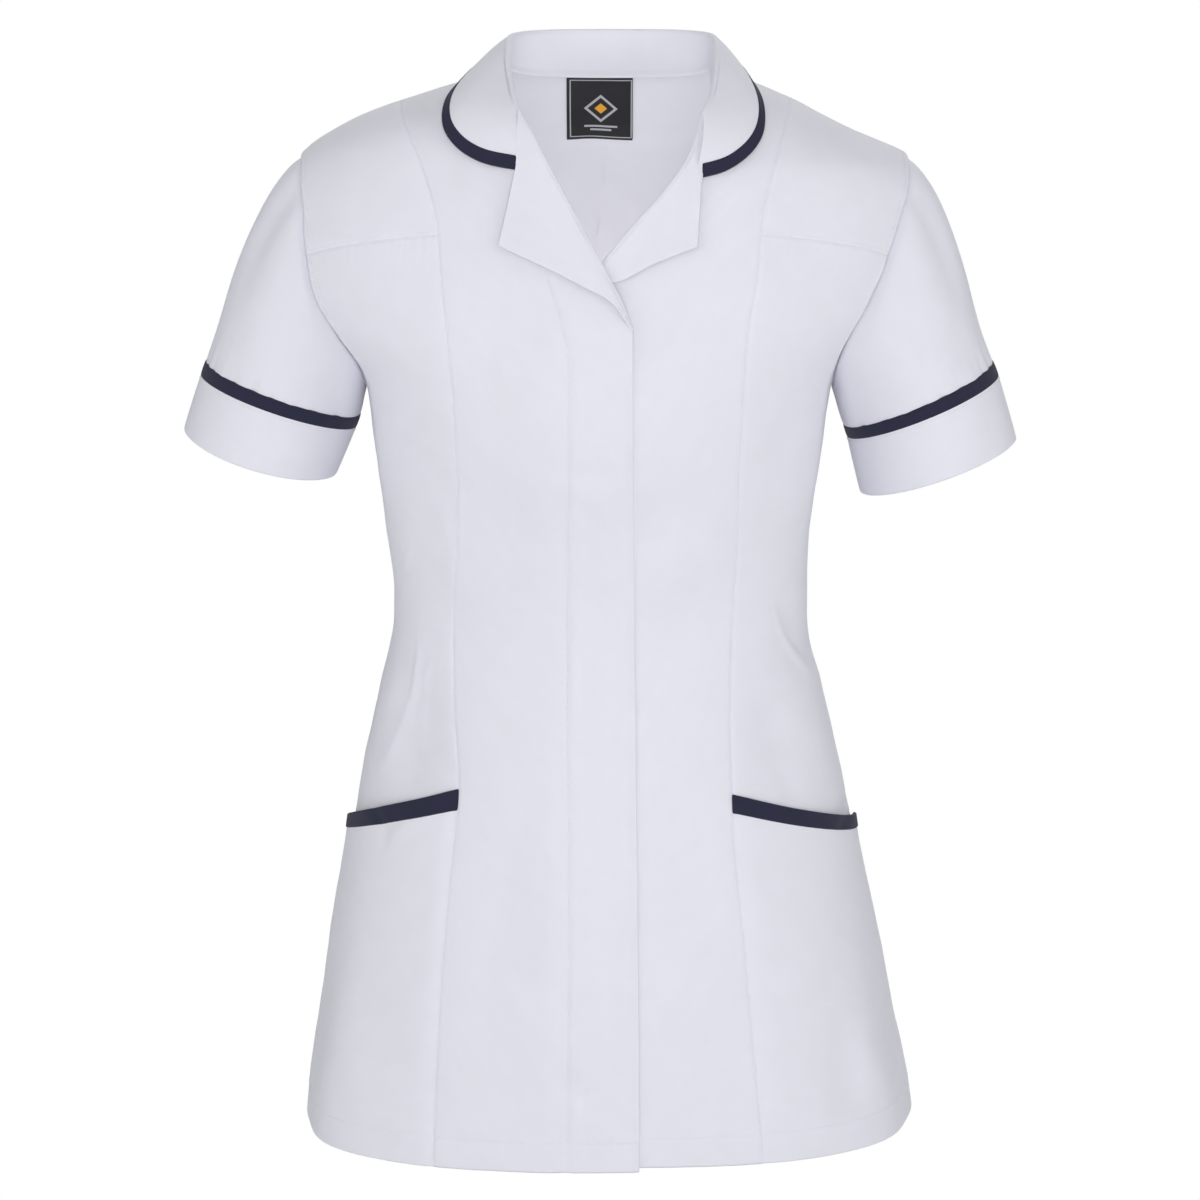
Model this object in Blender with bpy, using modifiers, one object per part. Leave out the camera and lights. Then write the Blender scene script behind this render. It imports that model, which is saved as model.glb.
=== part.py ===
"""Work tunic, short-sleeved, in its worn form with no wearer inside.

The body is one smooth form given by level sections. Every panel is a stretch of that form
between its seams, cut a little short of each seam, and what lies on a panel is the same form
moved out. Sizes are in millimetres here and in metres in the scene. +Z is up, the front faces
-Y and the wearer's left is +X. The origin is between the shoulders, where the tunic is held.
"""

import math

import bpy
import numpy as np

MM = 0.001

# ------------------------------------------------------------------ cloth
WALL = 1.2              # doubled cloth with its facing or seam allowance
BINDING_WALL = 1.8      # a strip folded over the edge
LABEL_WALL = 0.8
SEAM_GAP = 0.3          # between two pieces at a seam
HALF_GAP = SEAM_GAP / 2
SHOULDER_HALF_GAP = 0.27   # each side of the seam over the curve of the shoulder

# ------------------------------------------------------------------ colours, linear
WHITE = (0.80, 0.80, 0.86)
NAVY = (0.026, 0.030, 0.055)
BLACK = (0.035, 0.036, 0.045)
ROUGHNESS = 0.85

# ------------------------------------------------------------------ body form
HEM_HEIGHT = {"right": -689.0, "left": -685.5}  # from the princess seam round to the back
FRONT_HEM = {"right": -687.5, "left": -684.5}   # at the front edges
UNDERARM_HEIGHT = -197.0
YOKE_HEIGHT = -86.5     # the yoke seam at the princess seam
YOKE_BOW = 1.3          # above 1 the seam drops more towards the armhole

# ------------------------------------------------------------------ front opening
LAP_LIFT = 2.3          # the right front stands this far off the left one
LAP_START, LAP_FULL = -72.0, -30.0
BREAK_BUMP = 1.7        # more lift where the hidden end of the left lapel lies beneath
BREAK_BUMP_AT = (-3.0, -113.0)
BREAK_BUMP_SPREAD = (26.0, 22.0)

# ------------------------------------------------------------------ pockets
MOUTH_HEIGHT = {"right": -445.5, "left": -448.0}   # top of the binding at the princess seam
MOUTH_DROP = {"right": 46.0, "left": 41.0}     # and how much lower it is at the side seam
MOUTH_SAG = {"right": 3.0, "left": 5.0}        # of the binding's top edge in between
# width of the binding at the princess seam and at the side seam
MOUTH_BINDING = {"right": (13.0, 8.6), "left": (11.2, 8.3)}
POCKET_OUT = 2.2
POCKET_GAPE = {"right": 5.0, "left": 3.8}
GAPE_REACH = 110.0      # height over which the gape dies away
GAPE_OUTWARD = 0.65     # share of the gape that grows towards the side seam

# ------------------------------------------------------------------ collar
COLLAR_BINDING = 7.0
NECK_CENTRE = 3.0
LEFT_DROP = 5.0         # the left front corner of the collar sits lower
STAND_INSIDE = 2.0      # the stand is sewn just inside the neck edge
LEAF_CLEAR = 2.7
COLLAR_HALF_GAP = 0.25  # each side of the seam with its binding
COLLAR_AXIS = 4.0       # y of the upright line that the collar runs round
# the roll's four points across its width: outward from the roll line, and up
ROLL = ((-1.5, -1.3), (-0.7, -0.2), (0.7, -0.1), (1.5, -1.0))
STAND_PARTS = (0.0, 0.5)        # rows of the stand, from the neck to the roll
FALL_PARTS = (0.3, 0.62)        # rows of the leaf, from the roll to its binding
LEAF_BULGE = 0.10               # of the leaf's width

# ------------------------------------------------------------------ lapels
LAPEL_OUT = 3.4
TUCK = 1.1              # how much closer the left leaf lies where the right front covers it
TUCK_ACROSS = 26.0      # x at which the right front's cover has ended
TUCK_SQUEEZE = 0.34     # and how much flatter its fold is there
# the fold from the front's edge round to the lapel: beyond the roll line, and out of the front
FOLD = ((0.35, 0.0), (1.1, 0.08), (1.8, 0.75), (1.9, 1.6), (1.35, 2.45), (0.1, 2.9))

# ------------------------------------------------------------------ label
LABEL_CENTRE, LABEL_HALF = -3.5, 21.7
LABEL_TOP, LABEL_BOTTOM = 0.5, -45.5
LABEL_INSIDE = 1.6

# ------------------------------------------------------------------ steps along each seam
NECK_STEPS = 6
SHOULDER_IN_STEPS = 4
YOKE_STEPS = 6
ROLL_STEPS = 11
SIDE_STEPS = 20
BACK_STEPS = 16
POCKET_STEPS = 9
SLEEVE_STEPS = 8
CUFF_STEPS = 3
COLLAR_STEPS = 2        # between two rows of the collar table


def table(names, rows):
    """A table as a dictionary from each column's name to its values."""
    return dict(zip(names.split(), np.array(rows, float).T))


WIDTHS = table("height centre half", [
    (11.0, 3.0, 67.5),
    (0.0, 1.5, 91.5),
    (-12.0, -4.5, 127.6),
    (-25.0, -8.6, 156.5),
    (-38.0, -5.8, 181.8),
    (-46.5, 0.0, 196.3),
    (-60.0, 0.0, 206.0),
    (-74.0, -1.0, 210.5),
    (-90.0, -3.5, 211.0),
    (-114.0, -6.0, 205.0),
    (-133.0, -7.5, 195.5),
    (-155.0, -7.5, 177.5),
    (-177.0, -5.0, 158.8),
    (-187.0, -4.2, 153.2),
    (-197.0, -3.9, 150.6),
    (-234.0, -4.0, 146.0),
    (-287.0, -4.6, 138.9),
    (-330.0, -3.0, 135.5),
    (-350.0, -3.0, 135.8),
    (-395.0, -2.6, 145.0),
    (-450.0, -2.0, 157.2),
    (-504.0, -1.5, 167.3),
    (-560.0, -0.7, 180.2),
    (-615.0, 0.6, 190.2),
    (-660.0, 2.2, 198.4),
    (-689.0, 3.2, 202.0),
])

DEPTHS = table("height front back middle square", [
    (11.0, -46.0, 52.0, 6.0, 2.0),
    (0.0, -66.0, 62.0, 6.0, 2.0),
    (-12.0, -77.0, 70.0, 5.0, 2.0),
    (-38.0, -90.0, 86.0, 4.0, 2.0),
    (-60.0, -96.0, 96.0, 3.0, 2.15),
    (-90.0, -104.0, 104.0, 2.0, 2.3),
    (-133.0, -118.0, 108.0, 1.0, 2.4),
    (-165.0, -126.0, 107.0, 0.0, 2.4),
    (-197.0, -127.0, 103.0, 0.0, 2.4),
    (-234.0, -122.0, 96.0, -2.0, 2.35),
    (-287.0, -108.0, 84.0, -3.0, 2.25),
    (-341.0, -99.0, 80.0, -3.0, 2.2),
    (-395.0, -108.0, 92.0, -2.0, 2.2),
    (-450.0, -121.0, 112.0, 0.0, 2.2),
    (-504.0, -131.0, 126.0, 0.0, 2.2),
    (-560.0, -137.0, 132.0, 0.0, 2.2),
    (-615.0, -141.0, 136.0, 0.0, 2.35),
    (-689.0, -145.0, 140.0, 0.0, 2.5),
])

# a soft ridge (or trough, with a negative depth) on the form: where its middle is, its half
# length, its half width in degrees round the body, and how far it leans round as it runs down
FOLDS = table("turn height length width lean depth", [
    (-68.0, -395.0, 70.0, 9.0, -14.0, 1.8),
    (-52.0, -420.0, 60.0, 8.0, -10.0, -1.2),
    (62.0, -410.0, 65.0, 9.0, 12.0, 1.5),
    (-74.0, -650.0, 120.0, 8.0, 0.0, -3.0),
    (-58.0, -650.0, 130.0, 10.0, 0.0, 3.6),
    (72.0, -650.0, 120.0, 8.0, 0.0, -3.0),
    (58.0, -640.0, 130.0, 9.0, 0.0, 1.8),
    (118.0, -640.0, 140.0, 11.0, 0.0, -3.5),
    (140.0, -640.0, 150.0, 11.0, 0.0, 3.0),
    (180.0, -640.0, 150.0, 13.0, 0.0, -3.0),
    (220.0, -640.0, 150.0, 11.0, 0.0, 3.0),
    (243.0, -640.0, 140.0, 11.0, 0.0, -3.5),
    (150.0, -335.0, 45.0, 16.0, -8.0, -2.0),
    (212.0, -335.0, 45.0, 16.0, 8.0, -2.0),
])

# one row for each point of the armhole seam, from the shoulder to the underarm
ARMHOLE = table("height turn", [
    (-46.5, 90.0),
    (-50.5, 78.5),
    (-61.0, 69.3),
    (-80.0, 61.8),
    (-104.0, 59.0),
    (-125.0, 59.4),
    (-146.0, 61.6),
    (-165.0, 65.8),
    (-181.0, 72.8),
    (-192.0, 82.0),
    (-197.0, 90.0),
])
YOKE_ROW = 4            # the armhole row where the yoke seam ends

# the princess seam, on the wearer's right and left
PRINCESS = table("height right left", [
    (-42.0, -118.0, 108.2),
    (-79.0, -106.8, 99.4),
    (-110.0, -103.7, 96.1),
    (-150.0, -99.5, 89.8),
    (-210.0, -95.6, 86.7),
    (-285.0, -94.5, 84.8),
    (-350.0, -98.0, 81.6),
    (-390.0, -97.9, 80.5),
    (-443.0, -94.9, 82.1),
    (-475.0, -97.3, 83.1),
    (-510.0, -101.0, 86.0),
    (-540.0, -103.7, 89.2),
    (-580.0, -106.6, 93.0),
    (-632.0, -109.4, 97.7),
    (-689.0, -111.6, 103.0),
])
PRINCESS_TOP = {"right": -132.6, "left": 118.4}

SIDE_SEAM = table("height turn", [
    (-197.0, 90.0),
    (-300.0, 93.5),
    (-400.0, 97.0),
    (-689.0, 97.0),
])

# the roll line of each lapel and, below it, the edge of that front
ROLL_LINE = {
    "right": table("across height", [(-55.0, -12.0), (-19.0, -78.0), (17.0, -144.0)]),
    "left": table("across height", [(61.4, -14.8), (56.9, -33.4), (38.5, -60.5), (21.4, -79.1),
                                    (-1.9, -105.9), (-23.0, -130.0)]),
}
FRONT_EDGE = {"right": (17.0, 21.5), "left": (-23.0, -24.0)}   # at the break point and the hem

LAPEL = {
    "right": {
        "roll": [(-54.6, -12.6), (17.0, -144.0)],
        "gorge": [(-54.6, -12.6), (-55.6, -44.5)],
        "edge": [(-55.6, -44.5), (-61.0, -69.0), (-66.8, -93.0)],
        "lower": [(17.0, -144.0), (2.5, -126.9), (-13.8, -118.3), (-36.5, -107.0),
                  (-66.8, -93.0)],
    },
    "left": {
        "roll": [(61.1, -15.4), (56.9, -33.4), (38.5, -60.5), (21.4, -79.1), (-1.9, -105.9),
                 (-9.0, -114.0)],
        "gorge": [(61.1, -15.4), (60.0, -49.5)],
        "edge": [(60.0, -49.5), (58.6, -72.0), (57.4, -93.7)],
        "lower": [(-9.0, -114.0), (2.5, -115.2), (32.7, -102.9), (57.4, -93.7)],
    },
}

# half of the collar, from its front end to the middle of the back. side is 1 on the front
# of the form and -1 on the back of it
COLLAR = table("neck_half neck_height roll_centre roll_half roll_y roll_height "
               "edge_centre edge_half edge_height side", [
    (58.5, -12.0, 3.1, 58.6, -71.0, -8.3, 2.1, 58.4, -46.0, 1),
    (61.0, -8.5, 3.5, 60.6, -66.0, -5.0, 0.2, 73.4, -43.7, 1),
    (63.0, -6.0, 3.9, 62.3, -60.0, -2.2, -0.9, 85.7, -38.4, 1),
    (65.0, -3.2, 4.2, 63.7, -53.0, 1.0, -1.0, 95.3, -31.3, 1),
    (66.5, 0.0, 4.5, 64.7, -45.0, 4.4, -1.2, 101.2, -22.2, 1),
    (67.3, 3.5, 4.5, 66.5, -31.0, 11.3, -1.0, 101.6, -13.9, 1),
    (67.6, 7.5, 4.5, 67.4, -18.0, 17.7, 0.0, 97.0, -4.2, 1),
    (67.5, 11.0, 4.5, 67.6, 6.0, 25.0, 1.5, 89.0, 1.5, 1),
    (65.5, 8.0, 4.5, 66.9, 22.0, 28.3, 1.5, 84.0, -2.0, -1),
    (59.5, 5.0, 4.5, 61.5, 37.0, 29.2, 1.5, 74.0, -6.5, -1),
    (46.0, 2.8, 4.5, 48.0, 50.0, 29.3, 1.5, 55.0, -9.5, -1),
    (24.0, 1.6, 4.5, 25.0, 60.0, 29.0, 1.5, 30.0, -11.0, -1),
    (0.0, 1.2, 4.5, 0.0, 63.0, 28.7, 1.5, 0.0, -11.5, -1),
])

# the lower rings of each sleeve: the middle of the ring, half its width, half its depth, and
# how far its plane leans out from level, and how much lower its front is
SLEEVE = {
    "right": table("across height half depth lean tip", [
        (-210.6, -199.2, 52.6, 56.0, 19.5, 0.0),
        (-213.4, -207.0, 52.6, 56.0, 19.0, 0.0),
        (-225.6, -239.6, 51.2, 55.0, 16.5, 5.0),
    ]),
    "left": table("across height half depth lean tip", [
        (205.0, -203.0, 52.2, 55.0, 23.5, 0.0),
        (207.8, -210.6, 52.4, 55.0, 22.5, 0.0),
        (218.4, -249.6, 53.2, 55.0, 19.5, 1.0),
    ]),
}
# how much the sleeve head swells over the straight line to its cuff, and its front's share
CAP_BULGE = {"right": 0.49, "left": 0.42}
CAP_FRONT = 0.45
CAP_LOW = (-0.1, 0.9)   # -cosine round the sleeve from where to where it turns to its underside
SLEEVE_GAP = 0.8        # from the armhole edge
UNDERARM_OFFSET = 1.7   # the sleeve hangs this far off the body at the underarm

SIGN = {"right": -1.0, "left": 1.0}
TAG = {"right": "r", "left": "l"}


# ------------------------------------------------------------------ curves
def smooth(at, xs, ys):
    """Values of the curve through (xs, ys) that never overshoots its points."""
    order = np.argsort(xs)
    xs, ys = np.asarray(xs, float)[order], np.asarray(ys, float)[order]
    steps = np.diff(xs)
    slopes = np.diff(ys) / steps
    tangents = np.concatenate([slopes[:1], np.zeros(len(xs) - 2), slopes[-1:]])
    product = slopes[:-1] * slopes[1:]
    total = slopes[:-1] + slopes[1:]
    same = product > 0
    tangents[1:-1][same] = 2 * product[same] / total[same]
    at = np.clip(np.asarray(at, float), xs[0], xs[-1])
    k = np.clip(np.searchsorted(xs, at, side="right") - 1, 0, len(steps) - 1)
    t = (at - xs[k]) / steps[k]
    return (ys[k] * (1 + 2 * t) * (1 - t) ** 2 + ys[k + 1] * t * t * (3 - 2 * t)
            + steps[k] * (tangents[k] * t * (1 - t) ** 2 - tangents[k + 1] * t * t * (1 - t)))


def ease(value, start, end):
    """0 before start, 1 after end, and an even S between them."""
    t = np.clip((np.asarray(value, float) - start) / (end - start), 0.0, 1.0)
    return t * t * (3 - 2 * t)


def along(points, count):
    """count + 1 points evenly spaced by length on the smooth curve through the given ones."""
    points = np.asarray(points, float)
    reach = np.concatenate([[0.0], np.cumsum(np.linalg.norm(np.diff(points, axis=0), axis=1))])
    at = np.linspace(0.0, reach[-1], count + 1)
    return np.stack([smooth(at, reach, points[:, k]) for k in range(points.shape[1])], axis=1)


def unit(vectors):
    """The vectors at length 1."""
    return vectors / np.linalg.norm(vectors, axis=-1, keepdims=True)


# ------------------------------------------------------------------ body form
def section(height):
    """The level section of the form: its centre, half widths, depths and squareness."""
    centre = smooth(height, WIDTHS["height"], WIDTHS["centre"])
    half = smooth(height, WIDTHS["height"], WIDTHS["half"])
    front, back, middle, square = (
        smooth(height, DEPTHS["height"], DEPTHS[name])
        for name in ("front", "back", "middle", "square"))
    return centre, half, middle - front, back - middle, middle, square


def fold_height(turn, height):
    """How far the soft folds move the form out."""
    degrees = np.degrees(turn)
    total = np.zeros(np.broadcast(turn, height).shape)
    for middle, level, length, width, lean, depth in zip(*FOLDS.values()):
        run = (height - level) / length
        off = (degrees - middle + lean * run + 180.0) % 360.0 - 180.0
        total = total + depth * np.exp(-0.5 * (off / width) ** 2 - 0.5 * (1.6 * run) ** 2)
    return total


def form(turn, height):
    """Points of the form. turn is 0 at the front and a quarter turn at the wearer's left."""
    turn, height = np.broadcast_arrays(np.asarray(turn, float), np.asarray(height, float))
    centre, half, front, back, middle, square = section(height)
    side, ahead = np.sin(turn), np.cos(turn)
    round_ = (np.abs(side) ** square + np.abs(ahead) ** square) ** (-1.0 / square)
    depth = np.where(ahead > 0, front, back)
    out = fold_height(turn, height)
    return np.stack([centre + half * round_ * side + out * side,
                     middle - depth * round_ * ahead - out * ahead, height], axis=-1)


def form_normal(turn, height):
    """The outward unit normals of the form."""
    step_turn, step_height = 1e-3, 0.2
    across = form(turn + step_turn, height) - form(turn - step_turn, height)
    up = form(turn, height + step_height) - form(turn, height - step_height)
    return unit(np.cross(across, up))


def lifted(spots, out):
    """Points over the given (turn, height) spots, moved out of the form."""
    turn, height = spots[..., 0], spots[..., 1]
    return form(turn, height) + np.asarray(out)[..., None] * form_normal(turn, height)


def turn_at(across, height, back=False):
    """The turn at which the front (or back) of the form passes the given x."""
    centre, half, _, _, _, square = section(height)
    side = np.clip((across - centre) / half, -1.0, 1.0)
    ahead = (1.0 - np.abs(side) ** square) ** (1.0 / square)
    turn = np.arctan2(side, -ahead if back else ahead)
    return np.where(turn < 0, turn + 2 * math.pi, turn) if back else turn


def spots(across, height, back=False):
    """(turn, height) pairs for points given by x and height."""
    across, height = np.asarray(across, float), np.asarray(height, float)
    return np.stack([turn_at(across, height, back), height], axis=-1)


def clear_of_form(points, clearance):
    """The points, with those nearer to the form than the clearance moved out to it."""
    points = np.array(points, float)

    def level(at):
        centre, half, front, back, middle, square = section(at[..., 2])
        side = (at[..., 0] - centre) / half
        ahead = (middle - at[..., 1]) / np.where(at[..., 1] < middle, front, back)
        return (np.abs(side) ** square + np.abs(ahead) ** square) ** (1.0 / square)

    step = 0.05
    for _ in range(6):
        slope = np.stack([(level(points + step * axis) - level(points - step * axis)) / (2 * step)
                          for axis in np.eye(3)], axis=-1)
        size = np.linalg.norm(slope, axis=-1)
        short = np.clip(clearance - (level(points) - 1.0) / size, 0.0, None)
        short = np.where(points[..., 2] < WIDTHS["height"][0] - 0.5, short, 0.0)
        points = points + (short / size)[..., None] * slope
    return points


# ------------------------------------------------------------------ seams, as (turn, height)
def ridge_height(across):
    """The height of the shoulder line at the given x."""
    heights = np.linspace(ARMHOLE["height"][0], WIDTHS["height"][0], 240)
    centre, half = section(heights)[:2]
    edge = centre + math.copysign(1.0, across) * half
    order = np.argsort(edge)
    return float(np.interp(across, edge[order], heights[order]))


def shoulder_seams(side):
    """The shoulder line from the neck to the princess seam, and from there to the armhole."""
    split = ridge_height(PRINCESS_TOP[side])
    quarter = SIGN[side] * math.pi / 2
    inner = np.linspace(WIDTHS["height"][0], split, SHOULDER_IN_STEPS + 1)
    outer = np.linspace(split, ARMHOLE["height"][0], YOKE_STEPS + 1)
    return [np.stack([np.full(len(rows), quarter), rows], axis=-1) for rows in (inner, outer)]


def armhole_seam(side):
    """The armhole from the shoulder to the underarm, on the front."""
    return np.stack([SIGN[side] * np.radians(ARMHOLE["turn"]), ARMHOLE["height"]], axis=-1)


def side_seam(side):
    """The side seam from the underarm to the hem."""
    heights = np.linspace(UNDERARM_HEIGHT, HEM_HEIGHT[side], SIDE_STEPS + 1)
    turns = np.radians(smooth(heights, SIDE_SEAM["height"], SIDE_SEAM["turn"]))
    return np.stack([SIGN[side] * turns, heights], axis=-1)


def princess_across(side, height):
    """The princess seam's x at a height."""
    split = ridge_height(PRINCESS_TOP[side])
    heights = np.concatenate([[split], PRINCESS["height"]])
    return smooth(height, heights, np.concatenate([[PRINCESS_TOP[side]], PRINCESS[side]]))


def princess_seams(side):
    """The princess seam from the shoulder to the yoke seam, and from there to the hem."""
    split = ridge_height(PRINCESS_TOP[side])
    upper = split + (YOKE_HEIGHT - split) * np.linspace(0.0, 1.0, YOKE_ROW + 1) ** 2
    middle = np.linspace(YOKE_HEIGHT, UNDERARM_HEIGHT, len(ARMHOLE["turn"]) - YOKE_ROW)
    lower = np.concatenate([middle, side_seam(side)[1:, 1]])
    pair = [spots(princess_across(side, rows), rows) for rows in (upper, lower)]
    pair[0][0, 0] = SIGN[side] * math.pi / 2
    return pair


def yoke_seam(side):
    """The yoke seam from the princess seam to the armhole."""
    start = princess_seams(side)[1][0]
    end = armhole_seam(side)[YOKE_ROW]
    part = np.linspace(0.0, 1.0, YOKE_STEPS + 1)
    turn = start[0] + (end[0] - start[0]) * part
    return np.stack([turn, start[1] + (end[1] - start[1]) * part ** YOKE_BOW], axis=-1)


def neck_seam(side, back):
    """The neck edge from the shoulder to the lapel's roll line, or to the middle of the back."""
    rows = COLLAR["side"] < 0 if back else COLLAR["side"] > 0
    rows = rows | (np.arange(len(rows)) == np.argmax(COLLAR["neck_height"]))
    across = NECK_CENTRE + SIGN[side] * COLLAR["neck_half"][rows]
    points = np.stack([across, neck_height(side)[rows]], axis=-1)
    if back:
        points[-1, 0] = section(points[-1:, 1])[0][0]
        steps = BACK_STEPS // 2
    else:
        points = points[::-1]
        points[-1] = [ROLL_LINE[side]["across"][0], ROLL_LINE[side]["height"][0]]
        steps = NECK_STEPS
    curve = along(points, steps if not back else 10 * steps)
    seam = spots(curve[:, 0], curve[:, 1], back)
    seam[0, 0] = SIGN[side] * math.pi / 2 + (2 * math.pi if back and side == "right" else 0.0)
    if back:
        turns = np.linspace(seam[0, 0], math.pi, steps + 1)
        order = np.argsort(seam[:, 0])
        seam = np.stack([turns, np.interp(turns, seam[order, 0], seam[order, 1])], axis=-1)
    return seam


def neck_height(side):
    """The heights of the collar table's neck points, lower at the left front."""
    drop = LEFT_DROP * 0.55 if side == "left" else 0.0
    return COLLAR["neck_height"] - drop * ease(-COLLAR["roll_y"], 0.0, 70.0)


def front_edge(side):
    """The roll line and then the front edge, from the neck to the hem."""
    roll = along(np.stack(list(ROLL_LINE[side].values()), axis=-1), ROLL_STEPS)
    count = len(princess_seams(side)[1]) + YOKE_ROW + SHOULDER_IN_STEPS - ROLL_STEPS
    heights = np.linspace(roll[-1, 1], FRONT_HEM[side], count)[1:]
    top, hem = FRONT_EDGE[side]
    across = top + (hem - top) * ease(heights, roll[-1, 1], FRONT_HEM[side])
    across = np.concatenate([roll[:, 0], across])
    heights = np.concatenate([roll[:, 1], heights])
    return spots(across, heights)


# ------------------------------------------------------------------ patches
def straight(start, end, steps):
    """Even steps between two spots."""
    return start + (end - start) * np.linspace(0.0, 1.0, steps + 1)[:, None]


def patch(top, bottom, left, right):
    """The grid of points spanned by four edges that meet at their ends."""
    u = np.linspace(0.0, 1.0, len(top))[None, :, None]
    v = np.linspace(0.0, 1.0, len(left))[:, None, None]
    across = (1 - u) * left[:, None] + u * right[:, None]
    down = (1 - v) * top[None] + v * bottom[None]
    corners = ((1 - v) * ((1 - u) * top[0] + u * top[-1])
               + v * ((1 - u) * bottom[0] + u * bottom[-1]))
    return across + down - corners


def drawn_in(grid, top=HALF_GAP, bottom=HALF_GAP, left=HALF_GAP, right=HALF_GAP):
    """The grid with each edge pulled in by its amount, so that it stops short of its seam."""
    grid = grid.copy()
    grid[0] += top * unit(grid[1] - grid[0])
    grid[-1] += bottom * unit(grid[-2] - grid[-1])
    grid[:, 0] += left * unit(grid[:, 1] - grid[:, 0])
    grid[:, -1] += right * unit(grid[:, -2] - grid[:, -1])
    return grid


def lap_lift(points):
    """How far the right front is lifted off the form, so that it clears the left one."""
    x, z = points[..., 0], points[..., 2]
    bump = np.exp(-0.5 * ((x - BREAK_BUMP_AT[0]) / BREAK_BUMP_SPREAD[0]) ** 2
                  - 0.5 * ((z - BREAK_BUMP_AT[1]) / BREAK_BUMP_SPREAD[1]) ** 2)
    over = ease(x, LAP_START, LAP_FULL)
    return (LAP_LIFT + BREAK_BUMP * bump) * over


def front_view_patch(top, bottom, left, right):
    """A patch near the shoulder, spanned as it looks from the front and then put on the form."""
    edges = []
    for seam in (top, bottom, left, right):
        edges.append(np.stack([form(seam[:, 0], seam[:, 1])[:, 0], seam[:, 1]], axis=-1))
    grid = patch(*edges)
    grid = spots(grid[..., 0], grid[..., 1])
    grid[0], grid[-1], grid[:, 0], grid[:, -1] = top, bottom, left, right
    return grid


# ------------------------------------------------------------------ body panels
def front_panel(side):
    """One front between its edge and the princess seam."""
    left = front_edge(side)
    upper, lower = princess_seams(side)
    right = np.concatenate([shoulder_seams(side)[0], upper[1:], lower[1:]])
    top = neck_seam(side, back=False)[::-1]
    bottom = straight(left[-1], right[-1], NECK_STEPS)
    top[0], top[-1] = left[0], right[0]
    grid = front_view_patch(top, bottom, left, right)
    flat = form(grid[..., 0], grid[..., 1])
    out = lap_lift(flat) if side == "right" else np.zeros(flat.shape[:2])
    grid = drawn_in(lifted(grid, out), bottom=0.0)
    rows = slice(0, SHOULDER_IN_STEPS + YOKE_ROW)
    grid[rows, -1] += HALF_GAP * unit(grid[rows, -2] - grid[rows, -1])
    return grid


def yoke_panel(side):
    """The yoke between the shoulder, the armhole and the yoke seam."""
    left = princess_seams(side)[0]
    right = armhole_seam(side)[:YOKE_ROW + 1]
    grid = front_view_patch(shoulder_seams(side)[1], yoke_seam(side), left, right)
    return drawn_in(lifted(grid, 0.0), top=SHOULDER_HALF_GAP)


def side_front_panel(side):
    """The side front below the yoke, from the princess seam to the side seam."""
    left = princess_seams(side)[1]
    right = np.concatenate([armhole_seam(side)[YOKE_ROW:], side_seam(side)[1:]])
    grid = patch(yoke_seam(side), straight(left[-1], right[-1], YOKE_STEPS), left, right)
    return drawn_in(lifted(grid, 0.0), bottom=0.0)


def back_flank(side):
    """The back's edge on one side, from the neck to the hem, turned the long way round."""
    arm = armhole_seam(side)[1:]
    arm[:, 0] = SIGN[side] * math.pi - arm[:, 0]
    flank = np.concatenate(shoulder_seams(side)[:1] + [shoulder_seams(side)[1][1:], arm,
                                                      side_seam(side)[1:]])
    if side == "right":
        flank[:, 0] += 2 * math.pi
    return flank


def back_panel(side):
    """Half of the back, from the centre back seam to the side seam."""
    left, right = back_flank("left"), back_flank("right")
    top = np.concatenate([neck_seam("left", back=True), neck_seam("right", back=True)[::-1][1:]])
    top[0], top[-1] = left[0], right[0]
    grid = patch(top, straight(left[-1], right[-1], BACK_STEPS), left, right)
    middle = BACK_STEPS // 2
    half = grid[:, middle:] if side == "right" else grid[:, :middle + 1]
    return drawn_in(lifted(half, 0.0), bottom=0.0)


# ------------------------------------------------------------------ pockets and label
def mouth(side, part):
    """Heights of the binding's top and bottom edges from the princess seam to the side seam."""
    bow = np.sin(math.pi * part)
    top = MOUTH_HEIGHT[side] - MOUTH_DROP[side] * part - MOUTH_SAG[side] * bow
    inner, outer = MOUTH_BINDING[side]
    return top, top - inner - (outer - inner) * part


def pocket_grid(side, top, bottom, steps):
    """A stretch of the pocket between two lines of heights across it."""
    v = np.linspace(0.0, 1.0, steps + 1)
    part = np.linspace(0.0, 1.0, YOKE_STEPS + 1)
    height = top[None] * (1 - v[:, None]) + bottom[None] * v[:, None]
    inner = turn_at(princess_across(side, height), height)
    outer = SIGN[side] * np.radians(smooth(height, SIDE_SEAM["height"], SIDE_SEAM["turn"]))
    turn = inner + (outer - inner) * part[None]
    below = mouth(side, part)[0][None] - height
    gape = (4 * part * (1 - part)) ** 0.7 * (1 - GAPE_OUTWARD + GAPE_OUTWARD * part)
    fade = np.clip(1 - below / GAPE_REACH, 0, 1) ** 1.5
    out = POCKET_OUT + POCKET_GAPE[side] * gape[None] * fade
    return lifted(np.stack([turn, height], axis=-1), out)


def pocket_panel(side):
    """The pocket from under its binding to the hem."""
    top = mouth(side, np.linspace(0.0, 1.0, YOKE_STEPS + 1))[1]
    hem = np.full(top.shape, HEM_HEIGHT[side])
    return drawn_in(pocket_grid(side, top, hem, POCKET_STEPS), bottom=0.0)


def pocket_binding(side):
    """The strip along the pocket's mouth."""
    top, bottom = mouth(side, np.linspace(0.0, 1.0, YOKE_STEPS + 1))
    return drawn_in(pocket_grid(side, top, bottom, 1), top=0.0)


def label_panel():
    """The label that hangs inside the back neck."""
    across = np.linspace(LABEL_CENTRE - LABEL_HALF, LABEL_CENTRE + LABEL_HALF, 4)
    heights = np.linspace(LABEL_TOP, LABEL_BOTTOM, 5)
    x, z = np.meshgrid(across, heights)
    return lifted(spots(x, z, back=True), -LABEL_INSIDE)


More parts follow.
